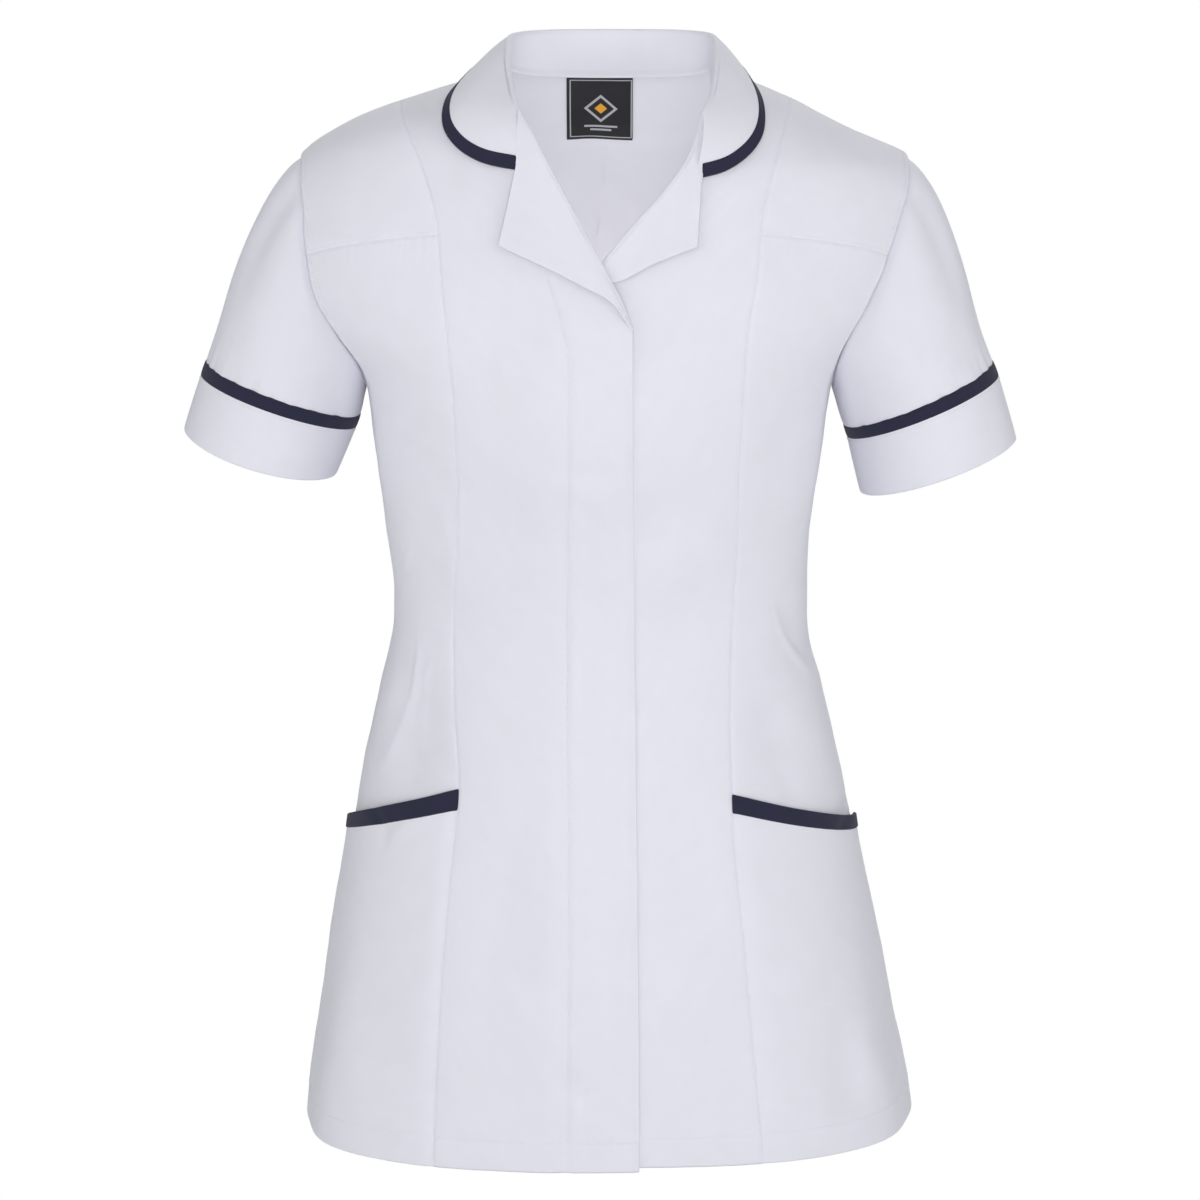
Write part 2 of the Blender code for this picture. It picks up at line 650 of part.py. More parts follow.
# ------------------------------------------------------------------ lapels
def lapel_panel(side):
    """A lapel: the fold at its roll line, and the leaf that lies on the front."""
    outline = LAPEL[side]
    roll = along(outline["roll"], 10)
    grid = patch(along(outline["gorge"], 4), along(outline["lower"], 4), roll,
                 along(outline["edge"], 10))
    on_form = spots(grid[..., 0], grid[..., 1])
    flat = form(on_form[..., 0], on_form[..., 1])
    under = lap_lift(flat) if side == "right" else np.zeros(flat.shape[:2])
    tuck = np.zeros(flat.shape[:2])
    if side == "left":
        tuck = 1.0 - ease(flat[..., 0], 0.0, TUCK_ACROSS)
    leaf = lifted(on_form, under + LAPEL_OUT - TUCK * tuck)
    normal = form_normal(on_form[:, 0, 0], on_form[:, 0, 1])
    base = lifted(on_form[:, 0], under[:, 0])
    run = unit(np.gradient(base, axis=0))
    beyond = unit(np.cross(run, normal)) * -SIGN[side]
    beyond *= np.sign(np.sum(beyond * (base - leaf[:, -1]), axis=-1, keepdims=True))
    squeeze = 1.0 - TUCK_SQUEEZE * tuck[:, 0]
    rows = [base + away * beyond + (rise * squeeze)[:, None] * normal for away, rise in FOLD]
    return np.concatenate([np.stack(rows, axis=1), leaf[:, 1:]], axis=1)


# ------------------------------------------------------------------ collar
def collar_rows(side):
    """Neck, roll and outer edge points of half the collar, from its front end to the back."""
    count = COLLAR_STEPS * (len(COLLAR["side"]) - 1)
    at = np.linspace(0.0, len(COLLAR["side"]) - 1.0, count + 1)
    rows = np.arange(len(COLLAR["side"]), dtype=float)
    sign = SIGN[side]
    front = ease(-COLLAR["roll_y"], 0.0, 70.0)
    drop = (LEFT_DROP if side == "left" else 0.0) * front
    neck = np.array([lifted(spots(NECK_CENTRE + sign * half, height, back=face < 0), 0.0)
                     for half, height, face in
                     zip(COLLAR["neck_half"], neck_height(side), COLLAR["side"])])
    roll = np.stack([COLLAR["roll_centre"] + sign * COLLAR["roll_half"], COLLAR["roll_y"],
                     COLLAR["roll_height"] - 0.6 * drop], axis=-1)
    edge = np.array([lifted(spots(middle + sign * half, height, back=face < 0), LEAF_CLEAR)
                     for middle, half, height, face in
                     zip(COLLAR["edge_centre"], COLLAR["edge_half"],
                         COLLAR["edge_height"] - drop, COLLAR["side"])])
    return [np.stack([smooth(at, rows, line[:, k]) for k in range(3)], axis=-1)
            for line in (neck, roll, edge)]


def collar_lines():
    """The collar's neck, roll and edge lines from the right front end round to the left."""
    right, left = collar_rows("right"), collar_rows("left")
    lines = []
    for a, b in zip(right, left):
        middle = (a[-1] + b[-1]) / 2
        lines.append(np.concatenate([a[:-1], middle[None], b[:-1][::-1]]))
    return lines


def collar_sections():
    """The collar's grid across its width, with the length at which the leaf meets its binding."""
    neck, roll, edge = collar_lines()
    away = unit(np.stack([roll[:, 0] - NECK_CENTRE, roll[:, 1] - COLLAR_AXIS,
                          np.zeros(len(roll))], axis=-1))
    up = np.array([0.0, 0.0, 1.0])
    fold = [roll + out * away + rise * up for out, rise in ROLL]
    inner, outer = fold[0], fold[-1]
    base = neck - STAND_INSIDE * away
    stand = [base + (inner - base) * part for part in STAND_PARTS]
    width = np.linalg.norm(edge - outer, axis=-1, keepdims=True)
    bulge = LEAF_BULGE * width * unit(away + 0.5 * up)
    fall = []
    for share in (*FALL_PARTS, 1.0 - COLLAR_BINDING / width, 1.0):
        point = outer + (edge - outer) * share + bulge * 4 * share * (1 - share)
        fall.append(clear_of_form(point, LEAF_CLEAR))
    return np.stack(stand + fold + fall, axis=1)


def collar_panel():
    """The collar's stand and fall, up to its binding."""
    return drawn_in(collar_sections()[:, :-1], top=0.0, bottom=0.0, left=0.0,
                    right=COLLAR_HALF_GAP)


def collar_binding():
    """The strip round the collar's outer edge."""
    return drawn_in(collar_sections()[:, -2:], top=0.0, bottom=0.0, left=COLLAR_HALF_GAP,
                    right=0.0)


# ------------------------------------------------------------------ sleeves
def armhole_ring(side):
    """The armhole's points on the form: shoulder, front, underarm and back, and the normals."""
    front = armhole_seam(side)
    back = front[::-1][1:-1].copy()
    back[:, 0] = SIGN[side] * math.pi - back[:, 0]
    ring = np.concatenate([front, back])
    return form(ring[:, 0], ring[:, 1]), form_normal(ring[:, 0], ring[:, 1])


def ring_angles(points):
    """The angle round the sleeve of each armhole point, by its length along the seam."""
    half = len(ARMHOLE["turn"])
    closed = np.concatenate([points, points[:1]])
    steps = np.linalg.norm(np.diff(closed, axis=0), axis=1)
    reach = np.concatenate([[0.0], np.cumsum(steps)])
    front = reach[:half] / reach[half - 1]
    back = 1.0 + (reach[half:-1] - reach[half - 1]) / (reach[-1] - reach[half - 1])
    return math.pi * np.concatenate([front, back])


def sleeve_ring(side, index, angles, slide=0.0):
    """A lower ring of the sleeve, slid along the sleeve by the given length."""
    across, height, half, depth, lean, tip = (row[index] for row in SLEEVE[side].values())
    tilt = math.radians(lean)
    outer = np.array([SIGN[side] * math.cos(tilt), 0.0, math.sin(tilt)])
    down = sleeve_axis(side, index)
    middle = np.array([across, 0.0, height]) + slide * down
    return (middle + half * np.cos(angles)[:, None] * outer
            + np.sin(angles)[:, None] * np.array([0.0, -depth, -tip]))


def sleeve_axis(side, index):
    """The direction in which the sleeve runs at a ring."""
    tilt = math.radians(SLEEVE[side]["lean"][index])
    return np.array([SIGN[side] * math.sin(tilt), 0.0, -math.cos(tilt)])


def sleeve_panel(side):
    """The sleeve from the armhole to its binding."""
    start, normal = armhole_ring(side)
    angles = ring_angles(start)
    end = sleeve_ring(side, 0, angles, -HALF_GAP)
    axis = sleeve_axis(side, 0)
    tilt = math.radians(SLEEVE[side]["lean"][0])
    outer = np.array([SIGN[side] * math.cos(tilt), 0.0, math.sin(tilt)])
    swell = (np.cos(angles)[:, None] * outer * (0.5 + 0.5 * np.cos(angles))[:, None]
             + CAP_FRONT * np.sin(angles)[:, None] * np.array([0.0, -1.0, 0.0]))
    low = ease(-np.cos(angles), *CAP_LOW)[:, None]
    chord = end - start
    lead = unit(unit(chord) + CAP_BULGE[side] * swell * (1 - low))
    start = start + SLEEVE_GAP * lead + UNDERARM_OFFSET * low * normal
    chord = end - start
    size = np.linalg.norm(chord, axis=-1, keepdims=True)
    t = np.linspace(0.0, 1.0, SLEEVE_STEPS + 1)[:, None, None]
    return (start * (1 + 2 * t) * (1 - t) ** 2 + end * t * t * (3 - 2 * t)
            + size * lead * t * (1 - t) ** 2 - size * axis * t * t * (1 - t))


def tube(side, first, last, steps):
    """A plain stretch of the sleeve between two of its rings."""
    angles = ring_angles(armhole_ring(side)[0])
    top = sleeve_ring(side, first, angles, HALF_GAP)
    bottom = sleeve_ring(side, last, angles, 0.0 if last == 2 else -HALF_GAP)
    t = np.linspace(0.0, 1.0, steps + 1)[:, None, None]
    return top + (bottom - top) * t


# ------------------------------------------------------------------ scene
def material(name, colour):
    """A Principled material of one plain colour."""
    made = bpy.data.materials.new(name)
    made.use_nodes = True
    shader = made.node_tree.nodes["Principled BSDF"]
    shader.inputs["Base Color"].default_value = (*colour, 1.0)
    shader.inputs["Roughness"].default_value = ROUGHNESS
    shader.inputs["Metallic"].default_value = 0.0
    return made


def cloth(name, grid, colour, wall=WALL, ring=False):
    """An object: the grid as an open sheet, with Solidify giving it its wall."""
    rows, columns = grid.shape[:2]
    row, column = np.meshgrid(np.arange(rows - 1), np.arange(columns if ring else columns - 1),
                              indexing="ij")
    following = (column + 1) % columns
    faces = np.stack([row * columns + column, (row + 1) * columns + column,
                      (row + 1) * columns + following, row * columns + following], axis=-1)
    mesh = bpy.data.meshes.new(name)
    mesh.from_pydata((grid.reshape(-1, 3) * MM).tolist(), [], faces.reshape(-1, 4).tolist())
    mesh.shade_smooth()
    mesh.materials.append(colour)
    made = bpy.data.objects.new(name, mesh)
    solidify = made.modifiers.new("Wall", "SOLIDIFY")
    solidify.thickness = wall * MM
    solidify.offset = 0.0
    return made


def clear_scene():
    """Removes whatever the scene starts with."""
    for obj in list(bpy.data.objects):
        bpy.data.objects.remove(obj, do_unlink=True)


def main():
    """Builds every piece of the tunic into its own collection."""
    clear_scene()
    pieces = [
        cloth("collar", collar_panel(), material("collar cloth", WHITE)),
        cloth("collar_binding", collar_binding(), material("collar binding", NAVY),
              BINDING_WALL),
        cloth("label", label_panel(), material("label cloth", BLACK), LABEL_WALL),
    ]
    for side, tag in TAG.items():
        for name, grid in (("back", back_panel(side)),
                           ("front", front_panel(side)), ("yoke", yoke_panel(side)),
                           ("side_front", side_front_panel(side)), ("lapel", lapel_panel(side)),
                           ("pocket", pocket_panel(side))):
            pieces.append(cloth(f"{name}_{tag}", grid, material(f"{name} {side}", WHITE)))
        pieces.append(cloth(f"pocket_binding_{tag}", pocket_binding(side),
                            material(f"pocket binding {side}", NAVY), BINDING_WALL))
        for name, grid, colour, wall in (
                ("sleeve", sleeve_panel(side), WHITE, WALL),
                ("sleeve_binding", tube(side, 0, 1, 1), NAVY, BINDING_WALL),
                ("cuff", tube(side, 1, 2, CUFF_STEPS), WHITE, WALL)):
            pieces.append(cloth(f"{name}_{tag}", grid, material(f"{name} {side}", colour),
                                wall, ring=True))
    collection = bpy.data.collections.new("Work tunic")
    bpy.context.scene.collection.children.link(collection)
    for piece in pieces:
        collection.objects.link(piece)


if __name__ == "__main__":
    main()
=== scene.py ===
"""Work tunic, short-sleeved, dressed for its portrait.

The body is one smooth form given by level sections, the same as in the part's source, with soft
creases laid over it. Each cut piece is a sheet on that form between its seams, worked out on a
fine grid, and turned into a closed shell. Lengths are in millimetres here and in metres in the
meshes. +Z is up, the front faces -Y and the wearer's left is +X.
"""

from __future__ import annotations

import logging
import math
from collections.abc import Sequence
from dataclasses import dataclass, field
from enum import Enum
from typing import Any

import bpy
import numpy as np
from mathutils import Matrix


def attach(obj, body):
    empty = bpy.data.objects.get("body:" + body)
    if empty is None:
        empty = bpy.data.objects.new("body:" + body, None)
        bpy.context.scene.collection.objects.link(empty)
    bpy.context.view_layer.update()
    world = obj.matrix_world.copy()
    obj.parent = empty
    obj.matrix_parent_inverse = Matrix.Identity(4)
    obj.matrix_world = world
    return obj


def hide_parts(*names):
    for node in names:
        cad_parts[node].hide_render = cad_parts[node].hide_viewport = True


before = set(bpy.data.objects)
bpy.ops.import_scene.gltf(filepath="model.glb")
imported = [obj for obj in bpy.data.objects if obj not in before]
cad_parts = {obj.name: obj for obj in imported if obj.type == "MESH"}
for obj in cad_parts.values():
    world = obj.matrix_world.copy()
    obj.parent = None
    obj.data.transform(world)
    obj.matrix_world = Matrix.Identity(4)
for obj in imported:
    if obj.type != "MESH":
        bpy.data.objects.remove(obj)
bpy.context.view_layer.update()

MM = 0.001
Array = np.ndarray
Table = dict[str, Array]
log = logging.getLogger("tunic")


class Side(Enum):
    """The wearer's side, with its sign along X and the ending of its node names."""

    RIGHT = (-1.0, "r", "right")
    LEFT = (1.0, "l", "left")

    @property
    def sign(self) -> float:
        """-1 on the wearer's right and 1 on the left."""
        return self.value[0]

    @property
    def tag(self) -> str:
        """The ending of the side's node names."""
        return self.value[1]

    @property
    def word(self) -> str:
        """The side in words, also the column names of the tables."""
        return self.value[2]


class Hold(Enum):
    """How a sheet of cloth is held."""

    HUNG = "hung"
    FOLDED = "folded"
    LAID = "laid"


# ---- tables and curves
def table(names: str, rows: Sequence[Sequence[float]]) -> Table:
    """A table as a dictionary from each column's name to its values.

    Args:
        names: the column names, with spaces between them.
        rows: the rows of numbers.

    Returns:
        One array for each column.
    """
    return dict(zip(names.split(), np.array(rows, float).T))


def tabled(names: str, rows: Sequence[Sequence[float]]) -> Any:
    """A dataclass field that holds a table."""
    return field(default_factory=lambda: table(names, rows))


def sided(right: object, left: object) -> Any:
    """A dataclass field with a value for each side, under the side's word."""
    return field(default_factory=lambda: {"right": right, "left": left})


def smooth(at: Array | float, xs: Array, ys: Array) -> Array:
    """Monotone cubic curve: Hermite between points, tangents the harmonic mean of the slopes.

    Args:
        at: where the curve is read.
        xs: the points' places.
        ys: the points' values.

    Returns:
        The curve's values, which never overshoot the points.
    """
    order = np.argsort(xs)
    xs, ys = np.asarray(xs, float)[order], np.asarray(ys, float)[order]
    steps = np.diff(xs)
    slopes = np.diff(ys) / steps
    tangents = np.concatenate([slopes[:1], np.zeros(len(xs) - 2), slopes[-1:]])
    product, total = slopes[:-1] * slopes[1:], slopes[:-1] + slopes[1:]
    same = product > 0
    tangents[1:-1][same] = 2 * product[same] / total[same]
    at = np.clip(np.asarray(at, float), xs[0], xs[-1])
    k = np.clip(np.searchsorted(xs, at, side="right") - 1, 0, len(steps) - 1)
    t = (at - xs[k]) / steps[k]
    return (ys[k] * (1 + 2 * t) * (1 - t) ** 2 + ys[k + 1] * t * t * (3 - 2 * t)
            + steps[k] * (tangents[k] * t * (1 - t) ** 2 - tangents[k + 1] * t * t * (1 - t)))


def ease(value: Array | float, start: float, end: float) -> Array:
    """0 before start, 1 after end, and t*t*(3 - 2t) between them."""
    t = np.clip((np.asarray(value, float) - start) / (end - start), 0.0, 1.0)
    return t * t * (3 - 2 * t)


def unit(vectors: Array) -> Array:
    """The vectors at length 1."""
    return vectors / np.maximum(np.linalg.norm(vectors, axis=-1, keepdims=True), 1e-12)


def lengths(points: Array, axis: int = 0) -> Array:
    """Running length along a line of points, or along one axis of a grid of them."""
    steps = np.linalg.norm(np.diff(points, axis=axis), axis=-1)
    start = np.zeros_like(np.take(steps, [0], axis=axis))
    return np.concatenate([start, np.cumsum(steps, axis=axis)], axis=axis)


def along(points: Sequence[Sequence[float]] | Array, count: int) -> Array:
    """count + 1 points evenly spaced by length on the smooth curve through the given ones."""
    points = np.asarray(points, float)
    reach = lengths(points)
    at = np.linspace(0.0, reach[-1], count + 1)
    return np.stack([smooth(at, reach, points[:, k]) for k in range(points.shape[1])], axis=1)


def pick(line: Array, share: Array, solid: Array | None = None) -> Array:
    """Points of a dense line at the given shares of its length, or of its line in space."""
    reach = lengths(line if solid is None else solid)
    at = share * reach[-1]
    return np.stack([np.interp(at, reach, line[:, k]) for k in range(line.shape[1])], axis=1)


def soften(values: Array, sigma: float, ring: bool = False) -> Array:
    """Gaussian mean along the first axis, mirrored through the ends so that they stay in place.

    Args:
        values: the values, evenly spaced along the first axis.
        sigma: the bell's half width in steps.
        ring: True if the last value is followed by the first.

    Returns:
        The softened values, in the same shape.
    """
    reach = int(math.ceil(3 * sigma))
    bell = np.exp(-0.5 * (np.arange(-reach, reach + 1) / sigma) ** 2)
    bell /= bell.sum()
    if ring:
        padded = np.concatenate([values[-reach:], values, values[:reach]])
    else:
        padded = np.concatenate([2 * values[:1] - values[reach:0:-1], values,
                                 2 * values[-1:] - values[-2:-reach - 2:-1]])
    return sum(weight * padded[k:k + len(values)] for k, weight in enumerate(bell))


def spread(count: int, *knots: float, ends: Sequence[float] = ()) -> Array:
    """Steps from 0 to 1 that hit each knot, with extra ones close to both ends.

    Args:
        count: about how many steps.
        knots: shares that must be among the steps.
        ends: shares of the extra steps from each end.

    Returns:
        The rising shares, from 0 to 1.
    """
    marks = [0.0, *sorted(knots), 1.0]
    runs = [np.linspace(low, high, max(2, round(count * (high - low)) + 1))
            for low, high in zip(marks, marks[1:])]
    steps = np.unique(np.round(np.concatenate(runs), 9))
    close = np.array(list(ends))
    if close.size:
        steps = steps[((steps > close[-1] * 1.3) & (steps < 1 - close[-1] * 1.3))
                      | np.isin(steps, (0.0, 1.0))]
        steps = np.unique(np.concatenate([steps, close, 1 - close]))
    return steps


# ---- the worn form
@dataclass(frozen=True)
class BodyForm:
    """The tunic's worn form: x = centre + half r sin(turn), y = middle - depth r cos(turn).

    r = (|sin|^n + |cos|^n)^(-1/n) gives each level section its squareness n. turn is 0 at the
    front and a quarter turn at the wearer's left.
    """

    widths: Table = tabled("height centre half", [
        (11, 3, 67.5), (0, 1.5, 91.5), (-12, -4.5, 127.6), (-25, -8.6, 156.5), (-38, -5.8, 181.8),
        (-46.5, 0, 196.3), (-60, 0, 206), (-74, -1, 210.5), (-90, -3.5, 211), (-114, -6, 205),
        (-133, -7.5, 195.5), (-155, -7.5, 177.5), (-177, -5, 158.8), (-187, -4.2, 153.2),
        (-197, -3.9, 150.6), (-234, -4, 146), (-287, -4.6, 138.9), (-330, -3, 135.5),
        (-350, -3, 135.8), (-395, -2.6, 145), (-450, -2, 157.2), (-504, -1.5, 167.3),
        (-560, -0.7, 180.2), (-615, 0.6, 190.2), (-660, 2.2, 198.4), (-689, 3.2, 202)])
    depths: Table = tabled("height front back middle square", [
        (11, -46, 52, 6, 2), (0, -66, 62, 6, 2), (-12, -77, 70, 5, 2), (-38, -90, 86, 4, 2),
        (-60, -96, 96, 3, 2.15), (-90, -104, 104, 2, 2.3), (-133, -118, 108, 1, 2.4),
        (-165, -126, 107, 0, 2.4), (-197, -127, 103, 0, 2.4), (-234, -122, 96, -2, 2.35),
        (-287, -108, 84, -3, 2.25), (-341, -99, 80, -3, 2.2), (-395, -108, 92, -2, 2.2),
        (-450, -121, 112, 0, 2.2), (-504, -131, 126, 0, 2.2), (-560, -137, 132, 0, 2.2),
        (-615, -141, 136, 0, 2.35), (-689, -145, 140, 0, 2.5)])
    # a soft ridge (or trough, with a negative depth): its middle, half length, half width in
    # degrees round the body, and how far it leans round as it runs down
    folds: Table = tabled("turn height length width lean depth", [
        (-68, -395, 70, 9, -14, 1.8), (-52, -420, 60, 8, -10, -1.2), (62, -410, 65, 9, 12, 1.5),
        (-74, -650, 120, 8, 0, -3), (-58, -650, 130, 10, 0, 3.6), (72, -650, 120, 8, 0, -3),
        (58, -640, 130, 9, 0, 1.8), (118, -640, 140, 11, 0, -3.5), (140, -640, 150, 11, 0, 3),
        (180, -640, 150, 13, 0, -3), (220, -640, 150, 11, 0, 3), (243, -640, 140, 11, 0, -3.5),
        (150, -335, 45, 16, -8, -2), (212, -335, 45, 16, 8, -2)])
    settle_rounds: int = 7
    level_step: float = 0.5     # between two levels of the softened tables
    level_soft: float = 4.0     # how far the tables' corners are softened, up and down

    def __post_init__(self) -> None:
        """Works out the softened tables once."""
        top, low = self.widths["height"][0], self.widths["height"][-1]
        heights = np.arange(top, low - self.level_step, -self.level_step)
        columns = [smooth(heights, source["height"], source[name])
                   for source, names in ((self.widths, ("centre", "half")),
                                         (self.depths, ("front", "back", "middle", "square")))
                   for name in names]
        soft = soften(np.stack(columns, axis=1), self.level_soft / self.level_step)
        object.__setattr__(self, "levels", np.concatenate([heights[:, None], soft], axis=1)[::-1])

    def section(self, height: Array) -> tuple[Array, ...]:
        """Centre, half width, front depth, back depth, middle and squareness at a height."""
        centre, half, front, back, middle, square = (
            np.interp(height, self.levels[:, 0], self.levels[:, k]) for k in range(1, 7))
        return centre, half, middle - front, back - middle, middle, square

    def fold_height(self, turn: Array, height: Array) -> Array:
        """How far the soft folds move the form out: a sum of depth exp(-off^2/2) bumps."""
        degrees = np.degrees(turn)
        total = np.zeros(np.broadcast(turn, height).shape)
        for middle, level, length, width, lean, depth in zip(*self.folds.values()):
            run = (height - level) / length
            off = (degrees - middle + lean * run + 180.0) % 360.0 - 180.0
            total += depth * np.exp(-0.5 * (off / width) ** 2 - 0.5 * (1.6 * run) ** 2)
        return total

    def point(self, turn: Array | float, height: Array | float) -> Array:
        """Points of the form at the given turns and heights."""
        turn, height = np.broadcast_arrays(np.asarray(turn, float), np.asarray(height, float))
        centre, half, front, back, middle, square = self.section(height)
        side, ahead = np.sin(turn), np.cos(turn)
        reach = (np.abs(side) ** square + np.abs(ahead) ** square) ** (-1.0 / square)
        depth = np.where(ahead > 0, front, back)
        out = self.fold_height(turn, height)
        return np.stack([centre + half * reach * side + out * side,
                         middle - depth * reach * ahead - out * ahead, height], axis=-1)

    def normal(self, turn: Array, height: Array) -> Array:
        """Outward unit normals: the cross product of the steps round and up."""
        across = self.point(turn + 1e-3, height) - self.point(turn - 1e-3, height)
        up = self.point(turn, height + 0.2) - self.point(turn, height - 0.2)
        return unit(np.cross(across, up))

    def at(self, spots: Array) -> Array:
        """Points of the form at (turn, height) spots."""
        return self.point(spots[..., 0], spots[..., 1])

    def surface(self, spots: Array) -> tuple[Array, Array]:
        """Points and outward normals of the form at (turn, height) spots."""
        return self.at(spots), self.normal(spots[..., 0], spots[..., 1])

    def lifted(self, spots: Array, out: Array | float) -> Array:
        """Points over (turn, height) spots, moved out of the form by the given amounts."""
        points, normal = self.surface(spots)
        return points + np.asarray(out)[..., None] * normal

    def turn_at(self, across: Array, height: Array, back: bool = False) -> Array:
        """The turn at which the front (or back) of the form passes the given x."""
        centre, half, _, _, _, square = self.section(height)
        side = np.clip((across - centre) / half, -1.0, 1.0)
        ahead = (1.0 - np.abs(side) ** square) ** (1.0 / square)
        turn = np.arctan2(side, -ahead if back else ahead)
        return np.where(turn < 0, turn + 2 * math.pi, turn) if back else turn

    def spots(self, across: Array | float, height: Array | float, back: bool = False) -> Array:
        """(turn, height) pairs for points given by x and height."""
        across, height = np.asarray(across, float), np.asarray(height, float)
        return np.stack([self.turn_at(across, height, back), height], axis=-1)

    def level(self, at: Array) -> Array:
        """1 on the form without its folds, more outside it and less inside."""
        centre, half, front, back, middle, square = self.section(at[..., 2])
        side = (at[..., 0] - centre) / half
        ahead = (middle - at[..., 1]) / np.where(at[..., 1] < middle, front, back)
        return (np.abs(side) ** square + np.abs(ahead) ** square) ** (1.0 / square)

    def slope(self, at: Array) -> Array:
        """The gradient of level, by central differences."""
        step = 0.05
        return np.stack([(self.level(at + step * axis) - self.level(at - step * axis))
                         / (2 * step) for axis in np.eye(3)], axis=-1)

    def settle(self, points: Array) -> Array:
        """(turn, height) spots of the form nearest to the points, by Newton steps on level."""
        points = np.array(points, float)
        for _ in range(self.settle_rounds):
            slope = self.slope(points)
            gain = np.sum(slope * slope, axis=-1)
            points -= ((self.level(points) - 1.0) / gain)[..., None] * slope
        centre, half, front, back, middle, _ = self.section(points[..., 2])
        side = (points[..., 0] - centre) / half
        ahead = (middle - points[..., 1]) / np.where(points[..., 1] < middle, front, back)
        return np.stack([np.arctan2(side, ahead), points[..., 2]], axis=-1)

    def clear(self, points: Array, clearance: float) -> Array:
        """The points, with those nearer to the form than the clearance moved out to it."""
        points = np.array(points, float)
        for _ in range(6):
            slope = self.slope(points)
            size = np.linalg.norm(slope, axis=-1)
            short = np.clip(clearance - (self.level(points) - 1.0) / size, 0.0, None)
            short = np.where(points[..., 2] < self.widths["height"][0] - 0.5, short, 0.0)
            points = points + (short / size)[..., None] * slope
        return points


